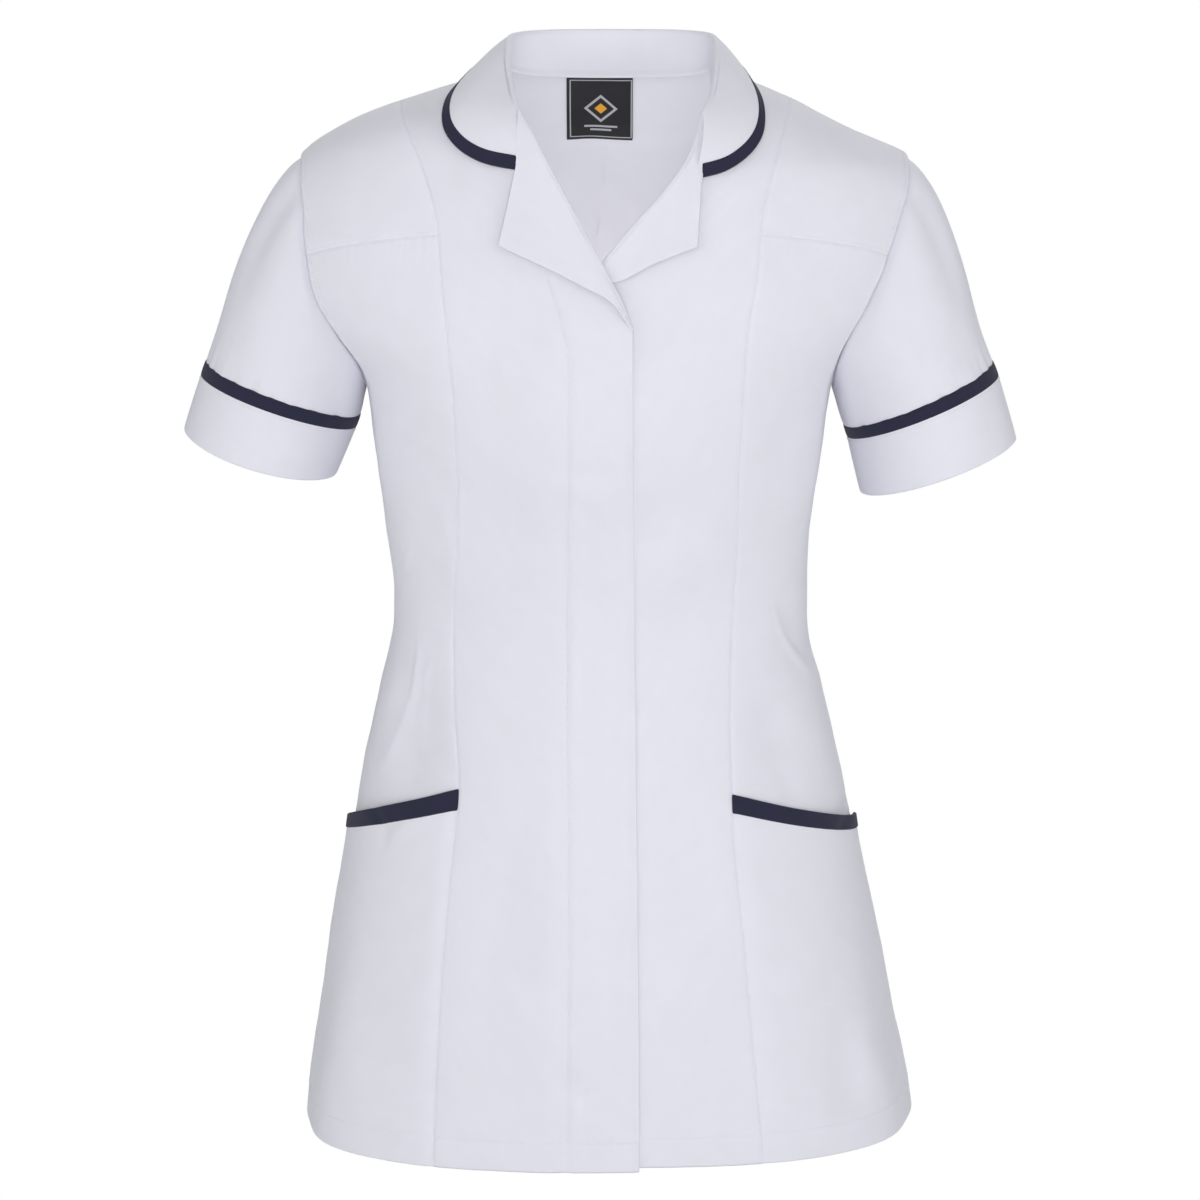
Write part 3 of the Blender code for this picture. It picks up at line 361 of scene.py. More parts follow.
@dataclass(frozen=True)
class Creases:
    """Soft troughs and ridges laid over the form, as they lie in the worn cloth.

    Each is a stroke from one place to another with a bell-shaped section. It wavers a little and
    its depth swells and fades along it. across and height are in millimetres.
    """

    front: Table = tabled("x0 z0 x1 z1 bend width depth", [
        (-120, -352, -153, -452, 7, 1.6, 0.5), (-128, -356, -158, -440, 7, 5, -0.5),
        (-125, -290, -134, -314, 2, 1.6, 0.42), (-110, -364, -121, -414, -3, 1.8, 0.3),
        (109, -336, 144, -394, -4, 1.6, 0.5), (112, -326, 148, -386, -4, 4.5, -0.5),
        (-93.6, -240, -94.6, -312, 0.5, 2.2, 0.35), (-149, -462, -140, -493, 3, 3, -0.5),
        (-140, -493, -120, -468, 3, 2.4, 0.4), (-101, -462, -98, -478, 1, 3, -0.4),
        (150, -488, 160, -470, 2, 3, -0.5), (-136, -220, -130, -245, 3, 9, -0.9),
        (-104, -255, -98, -330, 1, 3.5, 0.6), (-86, -240, -40, -300, 4, 13, -0.9),
        (-92, -300, -44, -350, -4, 12, 0.7), (-66, -330, -36, -400, 4, 12, -0.6),
        (10, -290, 72, -222, -4, 14, -0.9), (16, -330, 84, -262, 5, 13, 0.7),
        (8, -372, 66, -318, -3, 12, -0.6), (-20, -232, 8, -240, 2, 4, -0.5),
        (-18, -246, 6, -254, -2, 4.5, 0.45), (-84, -180, -40, -120, 5, 16, -0.8),
        (30, -120, 74, -170, -5, 15, -0.8), (-120, -120, -70, -150, 5, 16, 0.7),
        (78, -140, 130, -112, 5, 16, 0.7), (-118, -372, -104, -452, -5, 9, -1.2),
        (-132, -410, -126, -462, 3, 7, -1), (96, -385, 118, -452, 5, 10, -1.2),
        (112, -432, 124, -462, 2, 5, -0.7), (-30, -420, -34, -640, 3, 9, 0.7),
        (-60, -470, -68, -600, -4, 15, -0.8), (40, -430, 56, -560, 4, 14, -0.8),
        (-76, -560, -38, -620, 4, 13, 0.7), (28, -600, 70, -560, 4, 13, 0.7),
        (-90, -640, -50, -655, 2, 9, -0.5), (118, -590, 150, -540, 4, 13, 0.9),
        (-150, -560, -146, -670, 2, 12, -1.1), (150, -600, 168, -672, -2, 9, -1.2),
        (166, -610, 182, -662, -2, 6, 0.9), (-8, -640, -30, -622, 3, 6, -0.7),
        (-96, -36, -150, -80, 6, 15, -0.7), (96, -36, 150, -80, -6, 15, -0.7),
        (-130, -200, -112, -260, 4, 12, -1), (124, -200, 108, -262, -4, 12, -1)])
    back: Table = tabled("x0 z0 x1 z1 bend width depth", [
        (-120, -160, -50, -205, 8, 13, -1.3), (120, -150, 46, -210, -8, 13, -1.3),
        (-96, -215, -20, -250, 6, 12, 0.9), (90, -224, 12, -262, -6, 12, 0.9),
        (-108, -300, 30, -322, 8, 9, -1.6), (104, -322, -36, -350, 7, 9, 1.3),
        (-90, -352, 60, -366, -6, 9, -1.2), (96, -290, 20, -300, -5, 8, 0.9),
        (-60, -400, -84, -620, 8, 20, 1.4), (56, -390, 88, -610, -8, 20, 1.4),
        (-20, -420, -6, -640, -6, 20, -1.2), (24, -460, 30, -660, 5, 16, 0.9),
        (-110, -430, -140, -640, 6, 16, -1.2), (112, -430, 146, -640, -6, 16, -1.2),
        (-70, -60, -110, -120, 6, 16, -1), (66, -58, 112, -126, -6, 16, -1),
        (-40, -30, 44, -34, -6, 9, -0.7), (-30, -50, 52, -58, 5, 11, 0.6),
        (-24, -80, -16, -170, 4, 20, 0.8)])
    waver: float = 0.6      # how far a stroke wanders from its line, in millimetres
    strength: float = 2.3   # of every stroke on the front, over its depth in the table
    back_strength: float = 2.8
    ripple: tuple[float, float] = (0.34, 0.14)  # the cloth's broad and fine unevenness
    turn_over: float = 14.0     # half the strip where the front's strokes give way to the back's

    def stroke(self, across: Array, height: Array, row: Sequence[float]) -> Array:
        """One crease: depth exp(-(off/width)^2/2) times a taper over its length."""
        x0, z0, x1, z1, bend, width, depth = row
        run = np.hypot(x1 - x0, z1 - z0)
        cos, sin = (x1 - x0) / run, (z1 - z0) / run
        t = ((across - x0) * cos + (height - z0) * sin) / run
        off = (height - z0) * cos - (across - x0) * sin
        off = off - bend * 4 * t * (1 - t) - self.waver * np.sin(9.0 * t + x0)
        taper = ease(t, -0.12, 0.3) * (1.0 - ease(t, 0.62, 1.12))
        uneven = 1.0 + 0.25 * np.sin(7.0 * t + z0)
        width = width * (0.8 + 0.5 * np.clip(t, 0.0, 1.0))
        return depth * uneven * taper * np.exp(-0.5 * (off / width) ** 2)

    def height(self, points: Array) -> Array:
        """How far the creases move cloth out at the given points of the form.

        Args:
            points: points on the form, in millimetres.

        Returns:
            The outward distance at each point.
        """
        x, y, z = points[..., 0], points[..., 1], points[..., 2]
        ahead = ease(-y, -self.turn_over, self.turn_over)
        broad, fine = self.ripple
        total = broad * np.sin(x / 13.0 + 1.3 * np.sin(z / 37.0)) * np.sin(z / 29.0 + x / 61.0)
        total += fine * np.sin(x / 5.3 + z / 11.0) * np.sin(z / 7.1 - x / 17.0)
        for rows, strength in ((self.front, self.strength * ahead),
                               (self.back, self.back_strength * (1 - ahead))):
            for row in zip(*rows.values()):
                total += strength * self.stroke(x, z, row)
        return total


# ---- seams
@dataclass(frozen=True)
class Seams:
    """Where the seams run over the form, as dense lines of (turn, height) spots."""

    form: BodyForm
    dense: int = 400
    armhole_rows: Table = tabled("height turn", [
        (-46.5, 90), (-50.5, 78.5), (-61, 69.3), (-80, 61.8), (-104, 59), (-125, 59.4),
        (-146, 61.6), (-165, 65.8), (-181, 72.8), (-192, 82), (-197, 90)])
    yoke_row: int = 4
    princess_rows: Table = tabled("height right left", [
        (-42, -118, 108.2), (-79, -106.8, 99.4), (-110, -103.7, 96.1), (-150, -99.5, 89.8),
        (-210, -95.6, 86.7), (-285, -94.5, 84.8), (-350, -98, 81.6), (-390, -97.9, 80.5),
        (-443, -94.9, 82.1), (-475, -97.3, 83.1), (-510, -101, 86), (-540, -103.7, 89.2),
        (-580, -106.6, 93), (-632, -109.4, 97.7), (-689, -111.6, 103)])
    princess_top: dict[str, float] = sided(-132.6, 118.4)
    side_rows: Table = tabled("height turn", [
        (-197, 90), (-300, 93.5), (-400, 97), (-689, 97)])
    roll_rows: dict[str, list[tuple[float, float]]] = sided(
        [(-55, -12), (-19, -78), (17, -144)],
        [(61.4, -14.8), (56.9, -33.4), (38.5, -60.5), (21.4, -79.1), (-1.9, -105.9), (-23, -130)])
    edge_across: dict[str, tuple[float, float]] = sided((17.0, 21.5), (-23.0, -24.0))
    front_hem: dict[str, float] = sided(-687.5, -684.5)
    hem: dict[str, float] = sided(-689.0, -685.5)
    yoke_height: float = -86.5
    yoke_bow: float = 1.3
    underarm: float = -197.0
    neck_centre: float = 3.0
    left_drop: float = 5.0
    neck_rows: Table = tabled("half height roll_y side", [
        (58.5, -12, -71, 1), (61, -8.5, -66, 1), (63, -6, -60, 1), (65, -3.2, -53, 1),
        (66.5, 0, -45, 1), (67.3, 3.5, -31, 1), (67.6, 7.5, -18, 1), (67.5, 11, 6, 1),
        (65.5, 8, 22, -1), (59.5, 5, 37, -1), (46, 2.8, 50, -1), (24, 1.6, 60, -1),
        (0, 1.2, 63, -1)])

    def ridge_height(self, across: float) -> float:
        """The height of the shoulder line at the given x."""
        heights = np.linspace(self.armhole_rows["height"][0], self.form.widths["height"][0], 240)
        centre, half = self.form.section(heights)[:2]
        edge = centre + math.copysign(1.0, across) * half
        order = np.argsort(edge)
        return float(np.interp(across, edge[order], heights[order]))

    def shoulder(self, side: Side) -> tuple[Array, Array]:
        """The shoulder line from neck to princess seam, and from there to the armhole."""
        split = self.ridge_height(self.princess_top[side.word])
        ends = (self.form.widths["height"][0], split, self.armhole_rows["height"][0])
        quarter = np.full(self.dense, side.sign * math.pi / 2)
        return tuple(np.stack([quarter, np.linspace(a, b, self.dense)], axis=-1)
                     for a, b in zip(ends, ends[1:]))

    def armhole(self, side: Side) -> tuple[Array, Array]:
        """The armhole on the front: from the shoulder to the yoke seam, and on to the underarm."""
        turns, heights = self.armhole_rows["turn"], self.armhole_rows["height"]
        reach = lengths(np.stack([turns * 2.0, heights], axis=-1))
        parts = []
        for a, b in ((0, self.yoke_row), (self.yoke_row, len(turns) - 1)):
            at = np.linspace(reach[a], reach[b], self.dense)
            parts.append(np.stack([side.sign * np.radians(smooth(at, reach, turns)),
                                   smooth(at, reach, heights)], axis=-1))
        return parts[0], parts[1]

    def side_seam(self, side: Side) -> Array:
        """The side seam from the underarm to the hem."""
        heights = np.linspace(self.underarm, self.hem[side.word], self.dense)
        turns = np.radians(smooth(heights, self.side_rows["height"], self.side_rows["turn"]))
        return np.stack([side.sign * turns, heights], axis=-1)

    def princess_across(self, side: Side, height: Array) -> Array:
        """The princess seam's x at a height."""
        top = self.princess_top[side.word]
        heights = np.concatenate([[self.ridge_height(top)], self.princess_rows["height"]])
        return smooth(height, heights, np.concatenate([[top], self.princess_rows[side.word]]))

    def princess(self, side: Side) -> tuple[Array, Array]:
        """The princess seam from the shoulder to the yoke seam, and from there to the hem."""
        split = self.ridge_height(self.princess_top[side.word])
        share = np.linspace(0.0, 1.0, self.dense)
        upper = split + (self.yoke_height - split) * share ** 2
        lower = self.yoke_height + (self.hem[side.word] - self.yoke_height) * share
        pair = [self.form.spots(self.princess_across(side, rows), rows)
                for rows in (upper, lower)]
        pair[0][0, 0] = side.sign * math.pi / 2
        return pair[0], pair[1]

    def yoke(self, side: Side) -> Array:
        """The yoke seam from the princess seam to the armhole."""
        start, end = self.princess(side)[1][0], self.armhole(side)[0][-1]
        share = np.linspace(0.0, 1.0, self.dense)
        return np.stack([start[0] + (end[0] - start[0]) * share,
                         start[1] + (end[1] - start[1]) * share ** self.yoke_bow], axis=-1)

    def neck_height(self, side: Side) -> Array:
        """The heights of the neck's points, lower at the left front."""
        drop = self.left_drop * 0.55 if side is Side.LEFT else 0.0
        return self.neck_rows["height"] - drop * ease(-self.neck_rows["roll_y"], 0.0, 70.0)

    def neck(self, side: Side, back: bool) -> Array:
        """The neck edge from the shoulder to the roll line, or to the middle of the back."""
        rows = self.neck_rows["side"] < 0 if back else self.neck_rows["side"] > 0
        rows = rows | (np.arange(len(rows)) == np.argmax(self.neck_rows["height"]))
        across = self.neck_centre + side.sign * self.neck_rows["half"][rows]
        points = np.stack([across, self.neck_height(side)[rows]], axis=-1)
        if back:
            points[-1, 0] = self.form.section(points[-1:, 1])[0][0]
        else:
            points = points[::-1]
            points[-1] = self.roll_rows[side.word][0]
        curve = along(points, self.dense)
        seam = self.form.spots(curve[:, 0], curve[:, 1], back)
        seam[0, 0] = side.sign * math.pi / 2
        if back and side is Side.RIGHT:
            seam[0, 0] += 2 * math.pi
        return seam

    def front_edge(self, side: Side) -> tuple[Array, Array]:
        """The roll line, and then the front edge down to the hem."""
        roll = along(self.roll_rows[side.word], self.dense)
        heights = np.linspace(roll[-1, 1], self.front_hem[side.word], self.dense)
        top, hem = self.edge_across[side.word]
        across = top + (hem - top) * ease(heights, roll[-1, 1], self.front_hem[side.word])
        return self.form.spots(roll[:, 0], roll[:, 1]), self.form.spots(across, heights)

    def flank(self, side: Side) -> tuple[Array, ...]:
        """The back's edge on one side: shoulder, armhole and side seam, the long way round."""
        arm = np.concatenate([self.armhole(side)[0], self.armhole(side)[1][1:]])
        arm[:, 0] = side.sign * math.pi - arm[:, 0]
        shoulder = self.shoulder(side)
        return np.concatenate([shoulder[0], shoulder[1][1:]]), arm, self.side_seam(side)


def coons(top: Array, bottom: Array, left: Array, right: Array,
          across: Array, down: Array) -> Array:
    """The grid spanned by four edges: the sum of both rulings less the corners' one.

    Args:
        top: the top edge's points, from left to right.
        bottom: the bottom edge's points, from left to right.
        left: the left edge's points, from top to bottom.
        right: the right edge's points, from top to bottom.
        across: the columns' shares from left to right.
        down: the rows' shares from top to bottom.

    Returns:
        Points of shape (rows, columns, 3).
    """
    u, v = across[None, :, None], down[:, None, None]
    rules = (1 - u) * left[:, None] + u * right[:, None] + (1 - v) * top + v * bottom
    corners = ((1 - v) * ((1 - u) * top[0] + u * top[-1])
               + v * ((1 - u) * bottom[0] + u * bottom[-1]))
    return rules - corners


# ---- cloth as meshes
def placed(name: str, data: bpy.types.ID) -> bpy.types.Object:
    """A new object in the scene that holds the data."""
    made = bpy.data.objects.new(name, data)
    bpy.context.scene.collection.objects.link(made)
    return made


def dressed(name: str, mesh: bpy.types.Mesh, uv: Array,
            finish: bpy.types.Material) -> bpy.types.Object:
    """Places a mesh, smoothly shaded, with its flat cloth coordinates and its finish."""
    mesh.uv_layers.new(name="Cloth").data.foreach_set("uv", uv.reshape(-1).astype(np.float32))
    mesh.shade_smooth()
    mesh.materials.append(finish)
    return placed(name, mesh)


@dataclass
class Shell:
    """A sheet of cloth as a closed shell round a grid of points, with a rounded edge."""

    grid: Array
    wall: float | Array = 1.0
    ring: bool = False

    def normals(self) -> Array:
        """Unit normals of the grid: the cross product of its steps down and across."""
        down = np.gradient(self.grid, axis=0)
        if self.ring:
            across = np.roll(self.grid, -1, axis=1) - np.roll(self.grid, 1, axis=1)
        else:
            across = np.gradient(self.grid, axis=1)
        return unit(np.cross(down, across))

    def faced(self, toward: Array) -> "Shell":
        """The same shell, with its columns in the order that turns its normals that way."""
        if np.mean(np.sum(self.normals() * toward, axis=-1)) > 0:
            return self
        wall = np.broadcast_to(np.asarray(self.wall, float), self.grid.shape[:2])
        return Shell(self.grid[:, ::-1], wall[:, ::-1], self.ring)

    def closed(self) -> Array:
        """The grid; a ring has its first column again at the end."""
        return np.concatenate([self.grid, self.grid[:, :1]], axis=1) if self.ring else self.grid

    def uv(self) -> Array:
        """The cloth's own flat coordinates in metres: running lengths across and down."""
        grid = self.closed()
        across, down = lengths(grid, 1), lengths(grid, 0)
        across = across - across[:, across.shape[1] // 2, None]
        middle = down[:, down.shape[1] // 2, None]
        return np.stack([across, -0.5 * (down + middle)], axis=-1) * MM

    def borders(self) -> list[Array]:
        """The open edges as closed loops of grid places, turning the way their strips need."""
        rows, columns = self.grid.shape[:2]
        across, down = np.arange(columns), np.arange(rows)
        top = np.stack([np.zeros(columns, int), across], -1)
        low = np.stack([np.full(columns, rows - 1), across], -1)[::-1]
        if self.ring:
            return [top, low]
        right = np.stack([down, np.full(rows, columns - 1)], -1)
        left = np.stack([down, np.zeros(rows, int)], -1)[::-1]
        return [np.concatenate([top[:-1], right[:-1], low[:-1], left[:-1]])]

    def build(self, name: str, finish: bpy.types.Material) -> bpy.types.Object:
        """Makes the object: outer face, inner face, and a rounded strip round each open edge.

        Args:
            name: the object's name.
            finish: its material.

        Returns:
            The linked object, at the origin.
        """
        normal = self.normals()
        rows, columns = self.grid.shape[:2]
        half = np.broadcast_to(np.asarray(self.wall, float) / 2, (rows, columns))[..., None]
        outer, inner = self.grid + half * normal, self.grid - half * normal
        count = rows * columns
        i, j = np.meshgrid(np.arange(rows - 1), np.arange(columns if self.ring else columns - 1),
                           indexing="ij")
        k = (j + 1) % columns
        face = np.stack([i * columns + j, (i + 1) * columns + j, (i + 1) * columns + k,
                         i * columns + k], -1).reshape(-1, 4)
        uv = self.uv()
        corner = np.stack([uv[i, j], uv[i + 1, j], uv[i + 1, j + 1], uv[i, j + 1]],
                          2).reshape(-1, 4, 2)
        points = [outer.reshape(-1, 3), inner.reshape(-1, 3)]
        faces, corners = [face, face[:, ::-1] + count], [corner, corner[:, ::-1]]
        start = 2 * count
        for loop in self.borders():
            row, column = loop[:, 0], loop[:, 1]
            within = (np.clip(row, 1, rows - 2),
                      column if self.ring else np.clip(column, 1, columns - 2))
            step = unit(self.grid[row, column] - self.grid[within])
            points.append(self.grid[row, column] + 0.8 * half[row, column] * step)
            place, middle = row * columns + column, start + np.arange(len(loop))
            start += len(loop)
            for one, two in ((place, middle), (middle, place + count)):
                faces.append(np.stack([one, np.roll(one, -1), np.roll(two, -1), two], -1))
                here, after = uv[row, column], uv[np.roll(row, -1), np.roll(column, -1)]
                corners.append(np.stack([here, after, after, here], 1))
        mesh = bpy.data.meshes.new(name)
        mesh.from_pydata(np.concatenate(points) * MM, [], np.concatenate(faces))
        return dressed(name, mesh, np.concatenate(corners), finish)


def seam_dip(distance: Array, depth: float = 1.0, reach: float = 1.15) -> Array:
    """How deep the cloth falls into its seam: depth exp(-(distance/reach)^1.5)."""
    return depth * np.exp(-(np.maximum(distance, 0.0) / reach) ** 1.5)


def pucker(distance: Array, run: Array, height: float = 0.16, pitch: float = 7.0) -> Array:
    """The small ripples beside a seam: uneven waves along it that die away from it."""
    wave = (np.sin(run * 2 * math.pi / pitch + 1.7 * np.sin(run / 11.0))
            * (0.6 + 0.4 * np.sin(run / 23.0 + 0.7)))
    return height * wave * np.exp(-np.maximum(distance, 0.0) / 5.0)


@dataclass(frozen=True)
class Edges:
    """Which edges of a panel are seams."""

    top: bool = True
    bottom: bool = False
    left: bool = True
    right: bool = True


def bell(distance: Array, height: float, reach: float) -> Array:
    """A rounded rise, or a dip if it is below zero: height exp(-(distance/reach)^2)."""
    return height * np.exp(-(distance / reach) ** 2)


def stitch_groove(distance: Array, depth: float = 0.3, reach: float = 0.9) -> Array:
    """How deep stitches pull the cloth in."""
    return bell(distance, depth, reach)


def allowance(distance: Array, height: float = 0.45, wide: float = 5.0) -> Array:
    """The pressed seam allowance under the cloth: a low flat ridge with a fine groove beyond."""
    ridge = ease(distance, 0.3, 1.6) * (1 - ease(distance, wide - 0.6, wide + 0.8))
    groove = np.exp(-((distance - wide - 0.6) / 0.9) ** 2)
    return height * ridge - 0.35 * height * groove


def sewn(grid: Array, normal: Array, edges: Edges) -> Array:
    """The grid with each seamed edge dipped into its seam and lightly puckered beside it."""
    across, down = lengths(grid, 1), lengths(grid, 0)
    fields = [(down, across)] * edges.top + [(down[-1:] - down, across)] * edges.bottom \
        + [(across, down)] * edges.left + [(across[:, -1:] - across, down)] * edges.right
    dip = np.max([seam_dip(distance) for distance, _ in fields], axis=0)
    ripple = np.sum([pucker(distance, run) for distance, run in fields], axis=0)
    return grid + (ripple - dip)[..., None] * normal


def contour(surface: Array, values: Array) -> Array:
    """The line where a field on a grid first passes zero, with one point for each column.

    Args:
        surface: the grid's points.
        values: the field at each of them, which changes sign down each column.

    Returns:
        The line's points; columns where the field keeps its sign are left out.
    """
    change = (values[:-1] > 0) != (values[1:] > 0)
    column = np.flatnonzero(change.any(axis=0))
    row = change.argmax(axis=0)[column]
    a, b = values[row, column], values[row + 1, column]
    part = (a / (a - b))[:, None]
    return surface[row, column] * (1 - part) + surface[row + 1, column] * part


@dataclass(frozen=True)
class Thread:
    """The stitches of a seam: small rounded beads, sizes in millimetres."""

    pitch: float = 3.0
    long: float = 2.3
    radius: float = 0.26
    sides: int = 5

    def beads(self, line: Array) -> tuple[Array, Array]:
        """Stitches along a line: a ring of points at each end of the straight part and two tips.

        Args:
            line: surface points with their normals, of shape (n, 6).

        Returns:
            The vertices and the faces of all the stitches, as quads.
        """
        reach = lengths(line[:, :3])
        count = max(int(reach[-1] / self.pitch), 1)
        share = (np.arange(count) + 0.5) / count
        centre = pick(line, share)
        ahead = unit(pick(line, share + 0.2 / count)[:, :3] - centre[:, :3])
        up = unit(centre[:, 3:])
        aside = np.cross(ahead, up)
        turn = np.arange(self.sides) * 2 * math.pi / self.sides
        ring = self.radius * (np.cos(turn)[:, None] * aside[:, None]
                              + np.sin(turn)[:, None] * up[:, None])
        half = 0.5 * self.long * ahead[:, None]
        middle = centre[:, None, :3] + 0.35 * self.radius * up[:, None]
        sunk = middle - 0.6 * self.radius * up[:, None]
        points = np.concatenate([sunk - half, middle - 0.62 * half + ring,
                                 middle + 0.62 * half + ring, sunk + half], axis=1)
        k, after = np.arange(self.sides), (np.arange(self.sides) + 1) % self.sides
        first, second, last = 1 + k, 1 + self.sides + k, 1 + 2 * self.sides
        faces = np.concatenate([
            np.stack([0 * k, 1 + after, first, first], -1),
            np.stack([first, 1 + after, 1 + self.sides + after, second], -1),
            np.stack([second, 1 + self.sides + after, 0 * k + last, 0 * k + last], -1)])
        start = np.arange(count)[:, None, None] * points.shape[1]
        return points.reshape(-1, 3), (faces[None] + start).reshape(-1, 4)


@dataclass
class Tailor:
    """What every sub-assembly shares: the form, its seams, its creases and the finishes."""

    form: BodyForm
    seams: Seams
    creases: Creases
    cloth: bpy.types.Material
    binding: bpy.types.Material
    label: bpy.types.Material
    thread: bpy.types.Material
    sewing: Thread = field(default_factory=Thread)
    lines: dict[str, list[Array]] = field(default_factory=dict)

    def stitch(self, name: str, surface: Array, normal: Array, values: Array,
               rows: bool = False) -> None:
        """Keeps a line of stitches for later: where a field on a piece's outer face is zero.

        Args:
            name: the name of the sewing it belongs to.
            surface: the outer face's points.
            normal: its normals.
            values: the field.
            rows: True if the line crosses the rows instead of the columns.
        """
        both = np.concatenate([surface, np.broadcast_to(normal, surface.shape)], axis=-1)
        if rows:
            both, values = both.swapaxes(0, 1), values.T
        line = contour(both, values)
        if len(line) > 3:
            self.lines.setdefault(name, []).append(line)

    def sew(self) -> None:
        """Makes the stitches kept so far, one joined piece for each kind of sewing."""
        for name, lines in self.lines.items():
            points, faces, start = [], [], 0
            for line in lines:
                some, quads = self.sewing.beads(line)
                points.append(some)
                faces.append(quads + start)
                start += len(some)
            mesh = bpy.data.meshes.new(name)
            corners = np.concatenate(faces)
            mesh.from_pydata(np.concatenate(points) * MM, [],
                             [face[:3] if face[3] == face[2] else face
                              for face in corners.tolist()])
            corner = np.empty(len(mesh.loops), int)
            mesh.loops.foreach_get("vertex_index", corner)
            flat = np.concatenate(points)[corner][:, [0, 2]] * MM
            self.wear(dressed(name, mesh, flat, self.thread), "white_cloth")

    def wear(self, piece: bpy.types.Object, slot: str, *nodes: str) -> None:
        """Makes a finished piece ride the tunic, and take the place of the nodes named."""
        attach(piece, "root")
        if nodes:
            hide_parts(*nodes)
        log.info("%s: %d faces", piece.name, len(piece.data.polygons))

    def make(self, name: str, node: str, shell: Shell, toward: Array, slot: str, held: Hold,
             rests_on: Sequence[str] = (), allowance: float = 5.0) -> None:
        """Makes a piece that faces one way, works out and logs its cut and puts it in its node's
        place.

        Args:
            name: the object's name.
            node: the node whose place it takes.
            shell: its cloth.
            toward: which way its outer face looks.
            slot: which finish it takes.
            held: how the sheet is held. Not used.
            rests_on: the pieces that it lies on. Not used.
            allowance: the width of its seam allowance.
        """
        finish = {"white_cloth": self.cloth, "navy_binding": self.binding,
                  "label_cloth": self.label}[slot]
        piece = shell.faced(toward).build(name, finish)
        self.declare(piece, shell.closed(), allowance)
        self.wear(piece, slot, node)

    def declare(self, piece: bpy.types.Object, grid: Array,
                allowance: float) -> None:
        """Works out a piece's flat cut from its own surface and the seam allowance round it, and
        logs it.
        """
        across, down = lengths(grid, 1)[:, -1].max(), lengths(grid, 0)[-1].max()
        du, dv = np.diff(grid[:-1], axis=1), np.diff(grid[:, :-1], axis=0)
        surface = np.linalg.norm(np.cross(du, dv), axis=-1).sum()
        width, length = (max(side + 2 * allowance, 10.1) * MM for side in (across, down))
        area = surface + 2 * allowance * (across + down)
        area = float(np.clip(area * MM * MM, 0.301 * width * length, width * length))
        log.info("cut %s: %.3f x %.3f m, %.4f m2", piece.name, width, length, area)


def chain(parts: Sequence[Array]) -> Array:
    """Seam parts end to end as one line."""
    return np.concatenate([parts[0]] + [part[1:] for part in parts[1:]])


def between(start: Array, end: Array, count: int = 200) -> Array:
    """A dense straight run between two spots."""
    return start + (end - start) * np.linspace(0.0, 1.0, count)[:, None]


